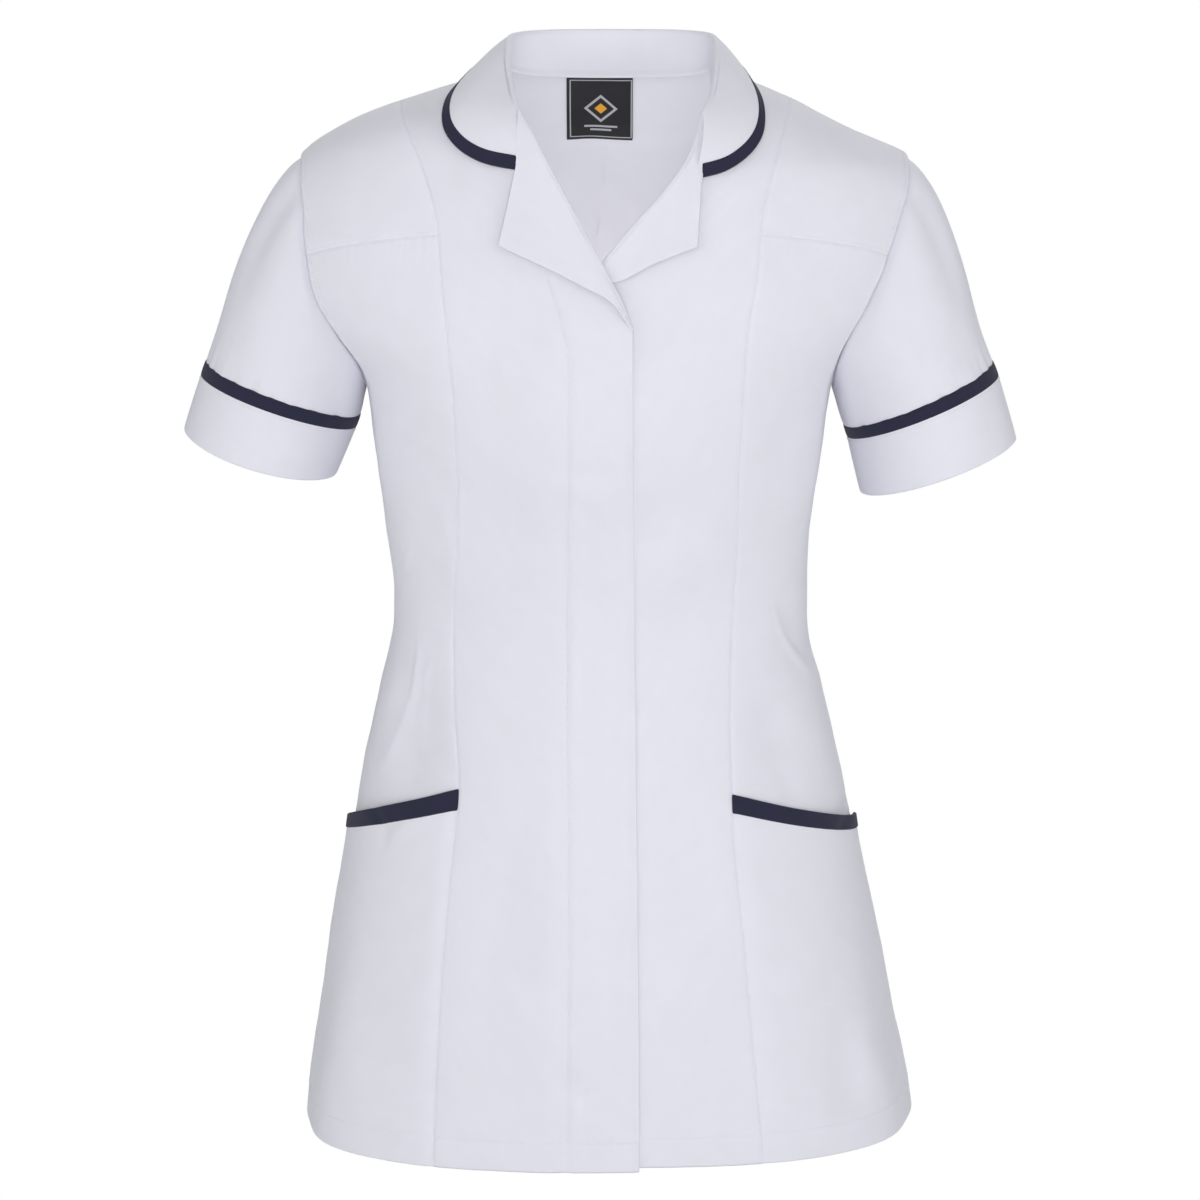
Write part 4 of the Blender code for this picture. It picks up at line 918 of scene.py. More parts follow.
# ---- body panels
@dataclass
class Body:
    """The fronts, yokes, side fronts and the two halves of the back, between their seams."""

    tailor: Tailor
    wall: float = 1.1
    hem_wall: float = 1.6
    hem_deep: float = 19.0
    lap_lift: float = 2.3
    lap_start: float = -72.0
    lap_full: float = -30.0
    shut: float = 0.95          # how far the lapping edge comes back to the front beneath it
    shut_reach: float = 6.0
    shut_below: tuple[float, float] = (150.0, 185.0)    # the depths over which it sets in
    bump: float = 1.7
    bump_at: tuple[float, float] = (-3.0, -113.0)
    bump_spread: tuple[float, float] = (26.0, 22.0)
    fly_across: float = -23.5
    fly_stitched: tuple[float, float] = (-640.0, -112.0)    # the heights it is stitched between
    tack_at: tuple[float, float] = (-21.4, -166.5)  # the oval of stitches on the fly line
    tack_half: tuple[float, float] = (2.0, 6.6)
    topstitch: float = 1.8      # of the yoke's stitches from their seam
    armhole_stitch: float = 5.4
    # the heights below which the armhole's allowance is pressed, on the front and the back
    pressed_below: tuple[float, float] = (-46.5, -50.0)
    pressed_low: tuple[float, float] = (-178.0, -140.0)     # where it fades in above the underarm
    pocket_sink: float = 1.1
    gather: float = 0.26        # the fine upright ripples under the yoke seam
    back_seam: tuple[float, float] = (200.0, 250.0)  # below the neck the seam begins to show
    back_overlap: float = 0.012  # how far the halves pass each other above that, in radians
    back_under: float = 0.4     # how far out the edge of each lies there
    gather_reach: float = 14.0
    edge_shares: tuple[float, ...] = (0.0025, 0.006, 0.011, 0.019, 0.031)
    end_shares: tuple[float, ...] = (0.0012, 0.003, 0.0055, 0.0095)
    front_grid: tuple[int, int] = (62, 260)
    side_grid: tuple[int, int] = (70, 240)
    back_grid: tuple[int, int] = (84, 220)
    yoke_grid: tuple[int, int] = (44, 44)

    def lap(self, points: Array) -> Array:
        """How far the right front is lifted off the form, so that it clears the left one."""
        x, z = points[..., 0], points[..., 2]
        bump = np.exp(-0.5 * ((x - self.bump_at[0]) / self.bump_spread[0]) ** 2
                      - 0.5 * ((z - self.bump_at[1]) / self.bump_spread[1]) ** 2)
        return (self.lap_lift + self.bump * bump) * ease(x, self.lap_start, self.lap_full)

    def shares(self, size: tuple[int, int], seam: Sequence[Array],
               knots: Sequence[float] = ()) -> tuple[Array, Array]:
        """Column and row shares, with a row through each corner of the seam's parts."""
        form = self.tailor.form
        sizes = [lengths(form.at(part))[-1] for part in seam]
        corners = np.cumsum(sizes[:-1]) / np.sum(sizes)
        return (spread(size[0], ends=self.edge_shares),
                spread(size[1], *corners, *knots, ends=self.end_shares))

    def span(self, edges: Sequence[Array], across: Array, down: Array) -> Array:
        """Spots of the panel between four seams: a Coons grid in space, settled on the form."""
        form = self.tailor.form
        solids = [form.at(line) for line in edges]
        picks = (across, across, down, down)
        grid = coons(*(pick(solid, share) for solid, share in zip(solids, picks)),
                     across, down)
        spots = form.settle(grid)
        top, low, left, right = (pick(line, share, solid)
                                 for line, solid, share in zip(edges, solids, picks))
        spots[0], spots[-1], spots[:, 0], spots[:, -1] = top, low, left, right
        return spots

    def wrap(self, edges: Sequence[Array], across: Array, down: Array) -> Array:
        """Spots of the panel between four seams: a Coons grid in turn and height."""
        form = self.tailor.form
        picks = (across, across, down, down)
        return coons(*(pick(line, share, form.at(line)) for line, share in zip(edges, picks)),
                     across, down)

    def cloth(self, node: str, name: str, spots: Array, edges: Edges,
              out: Array | float = 0.0, pressed: str = "") -> None:
        """Makes a body panel from its spots: creased, sewn in, thicker over its hem.

        Args:
            node: the node whose place it takes.
            name: the object's name.
            spots: (turn, height) of each grid point.
            edges: which of its edges are seams.
            out: how far each point stands off the form.
            pressed: which edge has a pressed allowance along its armhole, if any.
        """
        form = self.tailor.form
        flat, normal = form.surface(spots)
        out = out + self.tailor.creases.height(flat)
        if pressed:
            across = lengths(flat, 1)
            end = -1 if pressed == "right" else 0
            distance = np.abs(across[:, end, None] - across)
            height = flat[:, end, None, 2]
            below = self.pressed_below[name.startswith("back")]
            out = out + allowance(distance) * ease(height, *self.pressed_low) * (
                1.0 - ease(height, below - 1.0, below + 1.0))
        grid = sewn(flat + out[..., None] * normal, normal, edges)
        rise = lengths(grid, 0)[-1:] - lengths(grid, 0)
        line = self.topstitch if name.startswith("yoke") else self.hem_deep
        grid = grid - stitch_groove(rise - line)[..., None] * normal
        wall = self.wall + (self.hem_wall - self.wall) * (
            1 - ease(rise, self.hem_deep - 0.5, self.hem_deep + 0.5))
        self.tailor.make(name, node, Shell(grid, wall), normal, "white_cloth", Hold.HUNG)
        face = grid + 0.5 * wall[..., None] * normal
        kind = "yoke_stitches" if name.startswith("yoke") else "hem_stitches"
        self.tailor.stitch(kind, face, normal, rise - line)
        if pressed:
            across = lengths(grid, 1)
            aside = np.abs(across[:, end, None] - across) - self.armhole_stitch
            on = (grid[:, end, 2] > self.pressed_low[0] + 2.0) & (
                grid[:, end, 2] < below - 1.5)
            self.tailor.stitch("armhole_stitches", face[on], normal[on], aside[on], rows=True)
        if name == "front_right":
            low, high = self.fly_stitched
            on = (grid[:, 0, 2] > low) & (grid[:, 0, 2] < high)
            off = grid[..., 0] - self.fly_line(grid[..., 2])
            self.tailor.stitch("fly_stitches", face[on], normal[on], off[on], rows=True)
            self.tack()

    def front(self, side: Side) -> None:
        """One front, between its edge and the princess seam."""
        form, seams = self.tailor.form, self.tailor.seams
        edge, seam = seams.front_edge(side), [seams.shoulder(side)[0], *seams.princess(side)]
        size = lengths(form.at(edge[0]))[-1]
        left, right = chain(edge), chain(seam)
        knot = size / lengths(form.at(left))[-1]
        across, down = self.shares(self.front_grid, seam, [knot])
        spots = self.span((seams.neck(side, back=False)[::-1], between(left[-1], right[-1]),
                           left, right), across, down)
        flat = form.at(spots)
        out = 0.0
        if side is Side.RIGHT:
            shut = (1.0 - ease(lengths(flat, 1), 0.0, self.shut_reach)) * ease(
                -flat[..., 2], *self.shut_below)
            out = self.lap(flat) + self.fly_relief(flat) - self.shut * shut
        self.cloth(f"front_{side.tag}", f"front_{side.word}", spots, Edges(left=False), out)

    def tack(self) -> None:
        """The oval of stitches that holds the fly's upper end."""
        form, turn = self.tailor.form, np.linspace(0.0, 2 * math.pi, 61)
        spots = form.spots(self.tack_at[0] + self.tack_half[0] * np.cos(turn),
                           self.tack_at[1] + self.tack_half[1] * np.sin(turn))
        flat, normal = form.surface(spots)
        out = self.lap(flat) + self.fly_relief(flat) + self.tailor.creases.height(flat)
        line = np.concatenate([flat + (out + 0.5 * self.wall)[:, None] * normal, normal], axis=-1)
        self.tailor.lines["tack_stitches"] = [line]

    def fly_relief(self, points: Array) -> Array:
        """The strip in front of the fastening: a fine groove on its stitch line and a swell."""
        x, z = points[..., 0], points[..., 2]
        off = x - self.fly_line(z)
        groove = bell(off, -0.7, 1.6)
        swell = bell(off - 4.5, 0.75, 3.2) * (1 + 0.4 * np.sin(z / 21.0))
        trough = bell(off + 5.0, -0.7, 4.5) * ease(-z, 380.0, 440.0)
        ends = np.exp(-((x + 17.0) / 5.0) ** 2 - ((z + 640.0) / 9.0) ** 2)
        return (groove + swell + trough) * ease(-z, 104.0, 122.0) - 1.1 * ends

    def fly_line(self, height: Array) -> Array:
        """The stitch line's x: upright, and curving away from the edge under the lapel."""
        return (self.fly_across - 15.0 * (1 - ease(-height, 96.0, 172.0)) ** 1.4
                + 0.5 * np.sin(height / 47.0))

    def yoke(self, side: Side) -> None:
        """The yoke between the shoulder, the armhole and the yoke seam."""
        seams = self.tailor.seams
        steps = spread(self.yoke_grid[0], ends=self.edge_shares)
        spots = self.span((seams.shoulder(side)[1], seams.yoke(side), seams.princess(side)[0],
                           seams.armhole(side)[0]), steps, steps)
        self.cloth(f"yoke_{side.tag}", f"yoke_{side.word}", spots, Edges(bottom=True),
                   pressed="right")

    def side_front(self, side: Side) -> None:
        """The side front below the yoke, from the princess seam to the side seam."""
        form, seams = self.tailor.form, self.tailor.seams
        seam = [seams.armhole(side)[1], seams.side_seam(side)]
        left, right = seams.princess(side)[1], chain(seam)
        across, down = self.shares(self.side_grid, seam)
        spots = self.wrap((seams.yoke(side), between(left[-1], right[-1]), left, right),
                          across, down)
        mouth = Pockets(self.tailor).mouth_height(side, across)
        sink = -self.pocket_sink * ease(mouth[None] - spots[..., 1], 4.0, 16.0)
        rows = lengths(form.at(spots), 0)
        drop = ease(rows, 0.0, 3.0) * np.exp(-rows / self.gather_reach)
        turn = np.degrees(spots[..., 0])
        gathers = self.gather * np.sin(turn * 4.1 + 1.3 * np.sin(turn * 0.9)) * drop
        self.cloth(f"side_front_{side.tag}", f"side_front_{side.word}", spots, Edges(),
                   sink + gathers, pressed="right")

    def back(self, side: Side) -> None:
        """Half of the back, from the side seam to the centre back seam."""
        seams = self.tailor.seams
        seam = seams.flank(side)
        left = chain(seam)
        top = seams.neck(side, back=True)
        middle = np.array([math.pi, sum(seams.hem.values()) / 2])
        if side is Side.RIGHT:
            left = left + [2 * math.pi, 0.0]
        right = between(top[-1], middle, 800)
        shut = 1.0 - ease(-right[:, 1], *self.back_seam)
        right[:, 0] += side.sign * self.back_overlap * shut
        across, down = self.shares(self.back_grid, seam)
        spots = self.span((top, between(left[-1], right[-1]), left, right), across, down)
        aside = lengths(self.tailor.form.at(spots), 1)
        aside, open_share = aside[:, -1:] - aside, ease(-spots[..., 1], *self.back_seam)
        out = self.back_under * (1.0 - ease(aside, 0.0, 0.8)) * (1.0 - open_share)
        out = out - seam_dip(aside) * open_share
        self.cloth(f"back_{side.tag}", f"back_{side.word}", spots, Edges(right=False), out,
                   pressed="left")

    def build(self) -> None:
        """Makes every panel of the body."""
        for side in Side:
            self.front(side)
            self.yoke(side)
            self.side_front(side)
            self.back(side)


# ---- pockets
@dataclass
class Pockets:
    """The hip pockets, from the slanted mouth to the hem, with the binding on the mouth."""

    tailor: Tailor
    height: dict[str, float] = sided(-445.5, -448.0)
    drop: dict[str, float] = sided(46.0, 41.0)
    sag: dict[str, float] = sided(3.0, 5.0)
    binding: dict[str, tuple[float, float]] = sided((12.2, 7.6), (10.6, 7.4))
    gape: dict[str, float] = sided(5.0, 3.8)
    gape_reach: float = 110.0
    gape_outward: float = 0.65
    corner: float = 2.1         # the root of how far the binding's outer corner is rounded off
    corner_from: float = 0.88   # the share of the mouth where that begins
    over: float = 1.45          # the pocket's middle over the form, away from its seams
    at_seam: float = 0.15
    wall: float = 1.1
    binding_wall: float = 1.9
    hem_deep: float = 19.0
    grid: tuple[int, int] = (66, 120)
    binding_rows: int = 14
    seam_shares: tuple[float, ...] = (0.003, 0.008, 0.016, 0.028)

    def mouth_height(self, side: Side, part: Array) -> Array:
        """Height of the binding's top edge from the princess seam to the side seam."""
        return (self.height[side.word] - self.drop[side.word] * part
                - self.sag[side.word] * np.sin(math.pi * part))

    def mouth(self, side: Side, part: Array) -> tuple[Array, Array]:
        """Heights of the binding's top and bottom edges."""
        top = self.mouth_height(side, part)
        inner, outer = self.binding[side.word]
        corner = self.corner * np.clip((part - self.corner_from) / (1 - self.corner_from), 0, 1)
        return top - corner ** 2, top - inner - (outer - inner) * part

    def spots(self, side: Side, part: Array, height: Array) -> Array:
        """(turn, height) spots at shares of the way from the princess to the side seam."""
        form, seams = self.tailor.form, self.tailor.seams
        inner = form.turn_at(seams.princess_across(side, height), height)
        rows = seams.side_rows
        outer = side.sign * np.radians(smooth(height, rows["height"], rows["turn"]))
        return np.stack([inner + (outer - inner) * part[None], height], axis=-1)

    def out(self, side: Side, part: Array, height: Array) -> Array:
        """How far the pocket stands off the form: it gapes at the mouth, away from its ends."""
        below = self.mouth_height(side, part)[None] - height
        gape = (4 * part * (1 - part)) ** 0.7 * (1 - self.gape_outward
                                                 + self.gape_outward * part)
        fade = np.clip(1 - below / self.gape_reach, 0, 1) ** 1.5
        near = ease(np.minimum(part, 1 - part), 0.0, 0.05)[None]
        lie = self.at_seam + (self.over - self.at_seam) * near
        return lie + self.gape[side.word] * gape[None] * fade

    def pocket(self, side: Side) -> None:
        """The pocket from its binding to the hem."""
        form = self.tailor.form
        part = spread(self.grid[0], ends=self.seam_shares)
        top = self.mouth(side, part)[1] + 2.0
        down = spread(self.grid[1], ends=self.seam_shares[:3])[:, None]
        height = top[None] * (1 - down) + self.tailor.seams.hem[side.word] * down
        spots = self.spots(side, part, height)
        flat, normal = form.surface(spots)
        out = self.out(side, part, height) + self.tailor.creases.height(flat)
        grid = sewn(flat + out[..., None] * normal, normal, Edges(top=False))
        rise = lengths(grid, 0)[-1:] - lengths(grid, 0)
        grid = grid - stitch_groove(rise - self.hem_deep)[..., None] * normal
        self.tailor.make(f"pocket_{side.word}", f"pocket_{side.tag}", Shell(grid, self.wall),
                         normal, "white_cloth", Hold.LAID, [f"side_front_{side.word}"])
        self.tailor.stitch("hem_stitches", grid + 0.5 * self.wall * normal, normal,
                           rise - self.hem_deep)

    def strip(self, side: Side) -> None:
        """The binding along the mouth, folded over the pocket's edge."""
        form = self.tailor.form
        part = spread(self.grid[0], ends=self.seam_shares)
        top, low = self.mouth(side, part)
        down = np.linspace(0.0, 1.0, self.binding_rows + 1)[:, None]
        height = top[None] * (1 - down) + low[None] * down
        spots = self.spots(side, part, height)
        flat, normal = form.surface(spots)
        out = self.out(side, part, height) + self.tailor.creases.height(flat) + 0.35
        grid = flat + out[..., None] * normal
        self.tailor.make(f"pocket_binding_{side.word}", f"pocket_binding_{side.tag}",
                         Shell(grid, self.binding_wall), normal, "navy_binding", Hold.FOLDED,
                         [f"pocket_{side.word}"], allowance=0.5)

    def build(self) -> None:
        """Makes both pockets with their bindings."""
        for side in Side:
            self.pocket(side)
            self.strip(side)


# ---- neck label
@dataclass
class NeckLabel:
    """The woven label that hangs inside the back neck."""

    tailor: Tailor
    centre: float = -3.5
    half: float = 21.7
    top: float = 2.2
    bottom: float = -45.5
    inside: float = 1.6
    wall: float = 0.7
    steps: int = 30

    def build(self) -> None:
        """Makes the label, a smooth patch just inside the back."""
        form = self.tailor.form
        across = self.centre + self.half * np.linspace(-1.0, 1.0, self.steps)
        heights = np.linspace(self.top, self.bottom, self.steps)
        x, z = np.meshgrid(across, heights)
        spots = form.spots(x, z, back=True)
        curl = 0.5 * np.sin((x - self.centre) / 9.0) * np.clip(-z / 45.0, 0, 1)
        rumple = self.tailor.creases.height(form.at(spots))
        grid = form.lifted(spots, rumple - self.inside - curl)
        inward = -form.normal(spots[..., 0], spots[..., 1])
        self.tailor.make("neck_label", "label", Shell(grid, self.wall), inward, "label_cloth",
                         Hold.HUNG, allowance=2.0)


# ---- lapels
@dataclass
class Lapels:
    """The lapels: a soft fold at the roll line, and the leaf that lies on the front."""

    tailor: Tailor
    body: Body
    out: float = 3.4
    tuck: float = 1.1
    tuck_across: float = 26.0
    squeeze: float = 0.34
    wall: float = 1.5
    fade_top: float = 0.12      # share of the roll line over which the fold grows at the top
    fade_low: float = 0.14      # and over which it dies away at the bottom
    fade_across: float = 9.0    # how far across the leaf that reaches
    gorge_sink: dict[str, float] = sided(0.0, -1.1)     # of the leaf at the collar's end
    gorge_reach: float = 16.0
    rows: int = 96
    columns: int = 34
    row_shares: tuple[float, ...] = (0.006, 0.014, 0.026)
    column_shares: tuple[float, ...] = (0.008, 0.02, 0.04)
    fold_columns: int = 14
    fold: tuple[tuple[float, float], ...] = (
        (0.35, 0.0), (1.1, 0.08), (1.8, 0.75), (1.9, 1.6), (1.35, 2.45), (0.1, 2.9))
    outlines: dict[str, dict[str, list[tuple[float, float]]]] = field(default_factory=lambda: {
        "right": {
            "roll": [(-54.6, -12.6), (17, -144)],
            "gorge": [(-54.6, -12.6), (-55.6, -44.5)],
            "edge": [(-55.6, -44.5), (-61, -69), (-66.8, -93)],
            "lower": [(17, -144), (2.5, -126.9), (-13.8, -118.3), (-36.5, -107),
                      (-66.8, -93)]},
        "left": {
            "roll": [(61.4, -14.9), (56.9, -33.4), (38.5, -60.5), (21.4, -79.1), (-1.9, -105.9),
                     (-9, -114)],
            "gorge": [(61.4, -14.9), (60.4, -49.5)],
            "edge": [(60.4, -49.5), (58.8, -72), (57.4, -93.7)],
            "lower": [(-9, -114), (2.5, -115.2), (32.7, -102.9), (57.4, -93.7)]}})

    def lapel(self, side: Side) -> None:
        """One lapel, spanned between its outlines and laid on the front."""
        form, outline = self.tailor.form, self.outlines[side.word]
        down = spread(self.rows, ends=self.row_shares)
        across = spread(self.columns, ends=self.column_shares)
        lines = [pick(along(outline[name], 200), share) for name, share in
                 (("gorge", across), ("lower", across), ("roll", down), ("edge", down))]
        places = coons(*lines, across, down)
        spots = form.spots(places[..., 0], places[..., 1])
        flat, normal = form.surface(spots)
        under = self.body.lap(flat) if side is Side.RIGHT else np.zeros(flat.shape[:2])
        tuck = 1.0 - ease(flat[..., 0], 0.0, self.tuck_across) if side is Side.LEFT \
            else np.zeros(flat.shape[:2])
        lift = under + self.out - self.tuck * tuck + self.tailor.creases.height(flat)
        leaf = flat + lift[..., None] * normal
        base = flat[:, 0] + (under[:, 0])[:, None] * normal[:, 0]
        beyond = unit(np.cross(unit(np.gradient(base, axis=0)), normal[:, 0]))
        beyond *= np.sign(np.sum(beyond * (base - leaf[:, -1]), axis=-1, keepdims=True))
        beyond = unit(soften(beyond, 2.0))
        squeeze = 1.0 - self.squeeze * tuck[:, 0]
        bend = along(self.fold, self.fold_columns)
        full = ease(down, 0.0, self.fade_top)
        low = 1.0 - ease(down, 1.0 - self.fade_low, 1.0) * (side is Side.RIGHT)
        rows = [base + (away * low * (0.5 + 0.5 * full))[:, None] * beyond
                + (rise * squeeze * (0.3 + 0.7 * low))[:, None] * normal[:, 0]
                for away, rise in bend]
        dip = bell(lengths(base), self.gorge_sink[side.word], self.gorge_reach)
        rows = [row - (dip * float(np.clip(rise / 2.4, 0.0, 1.0)))[:, None] * normal[:, 0]
                for row, (_, rise) in zip(rows, bend)]
        leaf = leaf - dip[:, None, None] * normal
        near = bell(lengths(leaf, 1), 1.0, self.fade_across) * (1.0 - low[:, None])
        leaf = leaf - (near * 0.65 * self.out)[..., None] * normal
        grid = np.concatenate([np.stack(rows, axis=1), leaf[:, 1:]], axis=1)
        facing = np.zeros(grid.shape)
        facing[:, len(bend):] = normal[:, :1]
        self.tailor.make(f"lapel_{side.word}", f"lapel_{side.tag}", Shell(grid, self.wall),
                         facing, "white_cloth", Hold.FOLDED, allowance=1.0)

    def build(self) -> None:
        """Makes both lapels."""
        for side in Side:
            self.lapel(side)


# ---- collar
@dataclass
class Collar:
    """The collar: a stand that rises from the neck, a roll, and the leaf that falls from it."""

    tailor: Tailor
    rows: Table = tabled(
        "roll_centre roll_half roll_height edge_centre edge_half edge_height", [
        (3.1, 58.6, -8.3, 2.1, 58.4, -46), (3.5, 60.6, -5, 0.2, 73.4, -43.7),
        (3.9, 62.3, -2.2, -0.9, 85.7, -38.4), (4.2, 63.7, 1, -1, 95.3, -31.3),
        (4.5, 64.7, 4.4, -1.2, 101.2, -22.2), (4.5, 66.5, 11.3, -1, 101.6, -13.9),
        (4.5, 67.4, 17.7, 0, 97, -4.2), (4.5, 67.6, 25, 1.5, 89, 1.5),
        (4.5, 66.9, 28.3, 1.5, 84, -2), (4.5, 61.5, 29.2, 1.5, 74, -6.5),
        (4.5, 48, 29.3, 1.5, 55, -9.5), (4.5, 25, 29, 1.5, 30, -11),
        (4.5, 0, 28.7, 1.5, 0, -11.5)])
    steps: int = 11             # between two rows of the table
    soft: float = 5.0           # steps over which the rows' corners are softened
    binding: float = 8.0
    tucked: int = 4             # extra steps of cloth at each end, under the lapel
    tucked_binding: int = 1     # the same of the binding, which ends sooner
    axis: float = 4.0           # y of the upright line that the collar runs round
    stand_inside: float = 2.0
    overlap: float = 3.2        # how far the stand hangs below the neck seam inside
    overlap_inside: float = 0.3
    leaf_clear: float = 2.7
    bulge: float = 0.10
    wall: float = 1.3
    binding_wall: float = 1.9
    roll: tuple[tuple[float, float], ...] = ((-1.5, -1.3), (-0.7, -0.2), (0.7, -0.1),
                                             (1.5, -1.0))
    stand_columns: int = 14
    roll_columns: int = 10
    fall_columns: int = 28
    binding_columns: int = 10

    def half(self, side: Side) -> list[Array]:
        """Neck, roll and outer edge lines of half the collar, from its front end to the back."""
        form, seams = self.tailor.form, self.tailor.seams
        rows = {**seams.neck_rows, **self.rows}
        count = len(rows["side"])
        at = np.linspace(0.0, count - 1.0, self.steps * (count - 1) + 1)
        front = ease(-rows["roll_y"], 0.0, 70.0)
        drop = (seams.left_drop if side is Side.LEFT else 0.0) * front
        neck = [form.at(form.spots(seams.neck_centre + side.sign * half, height, face < 0))
                for half, height, face in
                zip(rows["half"], rows["height"] - 0.55 * drop, rows["side"])]
        roll = np.stack([rows["roll_centre"] + side.sign * rows["roll_half"], rows["roll_y"],
                         rows["roll_height"] - 0.6 * drop], axis=-1)
        edge = [form.lifted(form.spots(middle + side.sign * half, height, back=face < 0),
                            self.leaf_clear)
                for middle, half, height, face in
                zip(rows["edge_centre"], rows["edge_half"], rows["edge_height"] - drop,
                    rows["side"])]
        index = np.arange(count, dtype=float)
        return [np.stack([smooth(at, index, np.array(line)[:, k]) for k in range(3)], axis=-1)
                for line in (neck, roll, edge)]

    def lines(self) -> list[Array]:
        """Neck, roll and edge lines from the right front end round to the left one."""
        lines = []
        for a, b in zip(self.half(Side.RIGHT), self.half(Side.LEFT)):
            middle = (a[-1] + b[-1]) / 2
            line = soften(np.concatenate([a[:-1], middle[None], b[:-1][::-1]]), self.soft)
            more = np.arange(self.tucked, 0, -1)[:, None]
            first, last = line[0] - line[1], line[-1] - line[-2]
            lines.append(np.concatenate([line[0] + more * first, line,
                                         line[-1] + more[::-1] * last]))
        return lines

    def sections(self) -> tuple[Array, Array]:
        """The grids of the collar and of its binding, each with one column along the collar."""
        neck, roll, edge = self.lines()
        centre = self.tailor.seams.neck_centre
        away = unit(np.stack([roll[:, 0] - centre, roll[:, 1] - self.axis,
                              np.zeros(len(roll))], axis=-1))
        up = np.array([0.0, 0.0, 1.0])
        fold = [roll + out * away + rise * up for out, rise in along(self.roll,
                                                                     self.roll_columns)]
        inner, outer = fold[0], fold[-1]
        base = neck - self.stand_inside * away
        low = base - self.overlap * up - self.overlap_inside * away
        stand = [low, low + 0.5 * (base - low) - 0.4 * away]
        stand += [base + (inner - base) * part
                  for part in np.linspace(0.0, 1.0, self.stand_columns)[:-1]]
        width = np.linalg.norm(edge - outer, axis=-1, keepdims=True)
        bulge = self.bulge * width * unit(away + 0.5 * up)
        turn = 1.0 - self.binding / width
        fall = [self.leaf(outer, edge, bulge, turn * part)
                for part in np.linspace(0.0, 1.0, self.fall_columns)[1:]]
        strip = [self.leaf(outer, edge, bulge, turn + (1 - turn) * part)
                 for part in np.linspace(0.0, 1.0, self.binding_columns)]
        short = self.tucked - self.tucked_binding
        return (np.stack(stand + fold + fall, axis=1),
                np.stack(strip, axis=1)[short:-short])

    def leaf(self, outer: Array, edge: Array, bulge: Array, share: Array) -> Array:
        """A line along the leaf: outer + share (edge - outer) + 4 bulge share (1 - share)."""
        line = outer + (edge - outer) * share + bulge * 4 * share * (1 - share)
        return self.tailor.form.clear(line, self.leaf_clear)

    def build(self) -> None:
        """Makes the collar and its binding."""
        collar, strip = self.sections()
        toward = np.zeros(collar.shape)
        toward[:, -self.fall_columns // 2:] = (0.0, 0.0, 1.0)
        self.tailor.make("collar_cloth", "collar", Shell(collar, self.wall), toward,
                         "white_cloth", Hold.FOLDED)
        self.tailor.make("collar_edge", "collar_binding", Shell(strip, self.binding_wall),
                         np.array([0.0, 0.0, 1.0]), "navy_binding", Hold.FOLDED, allowance=0.5)


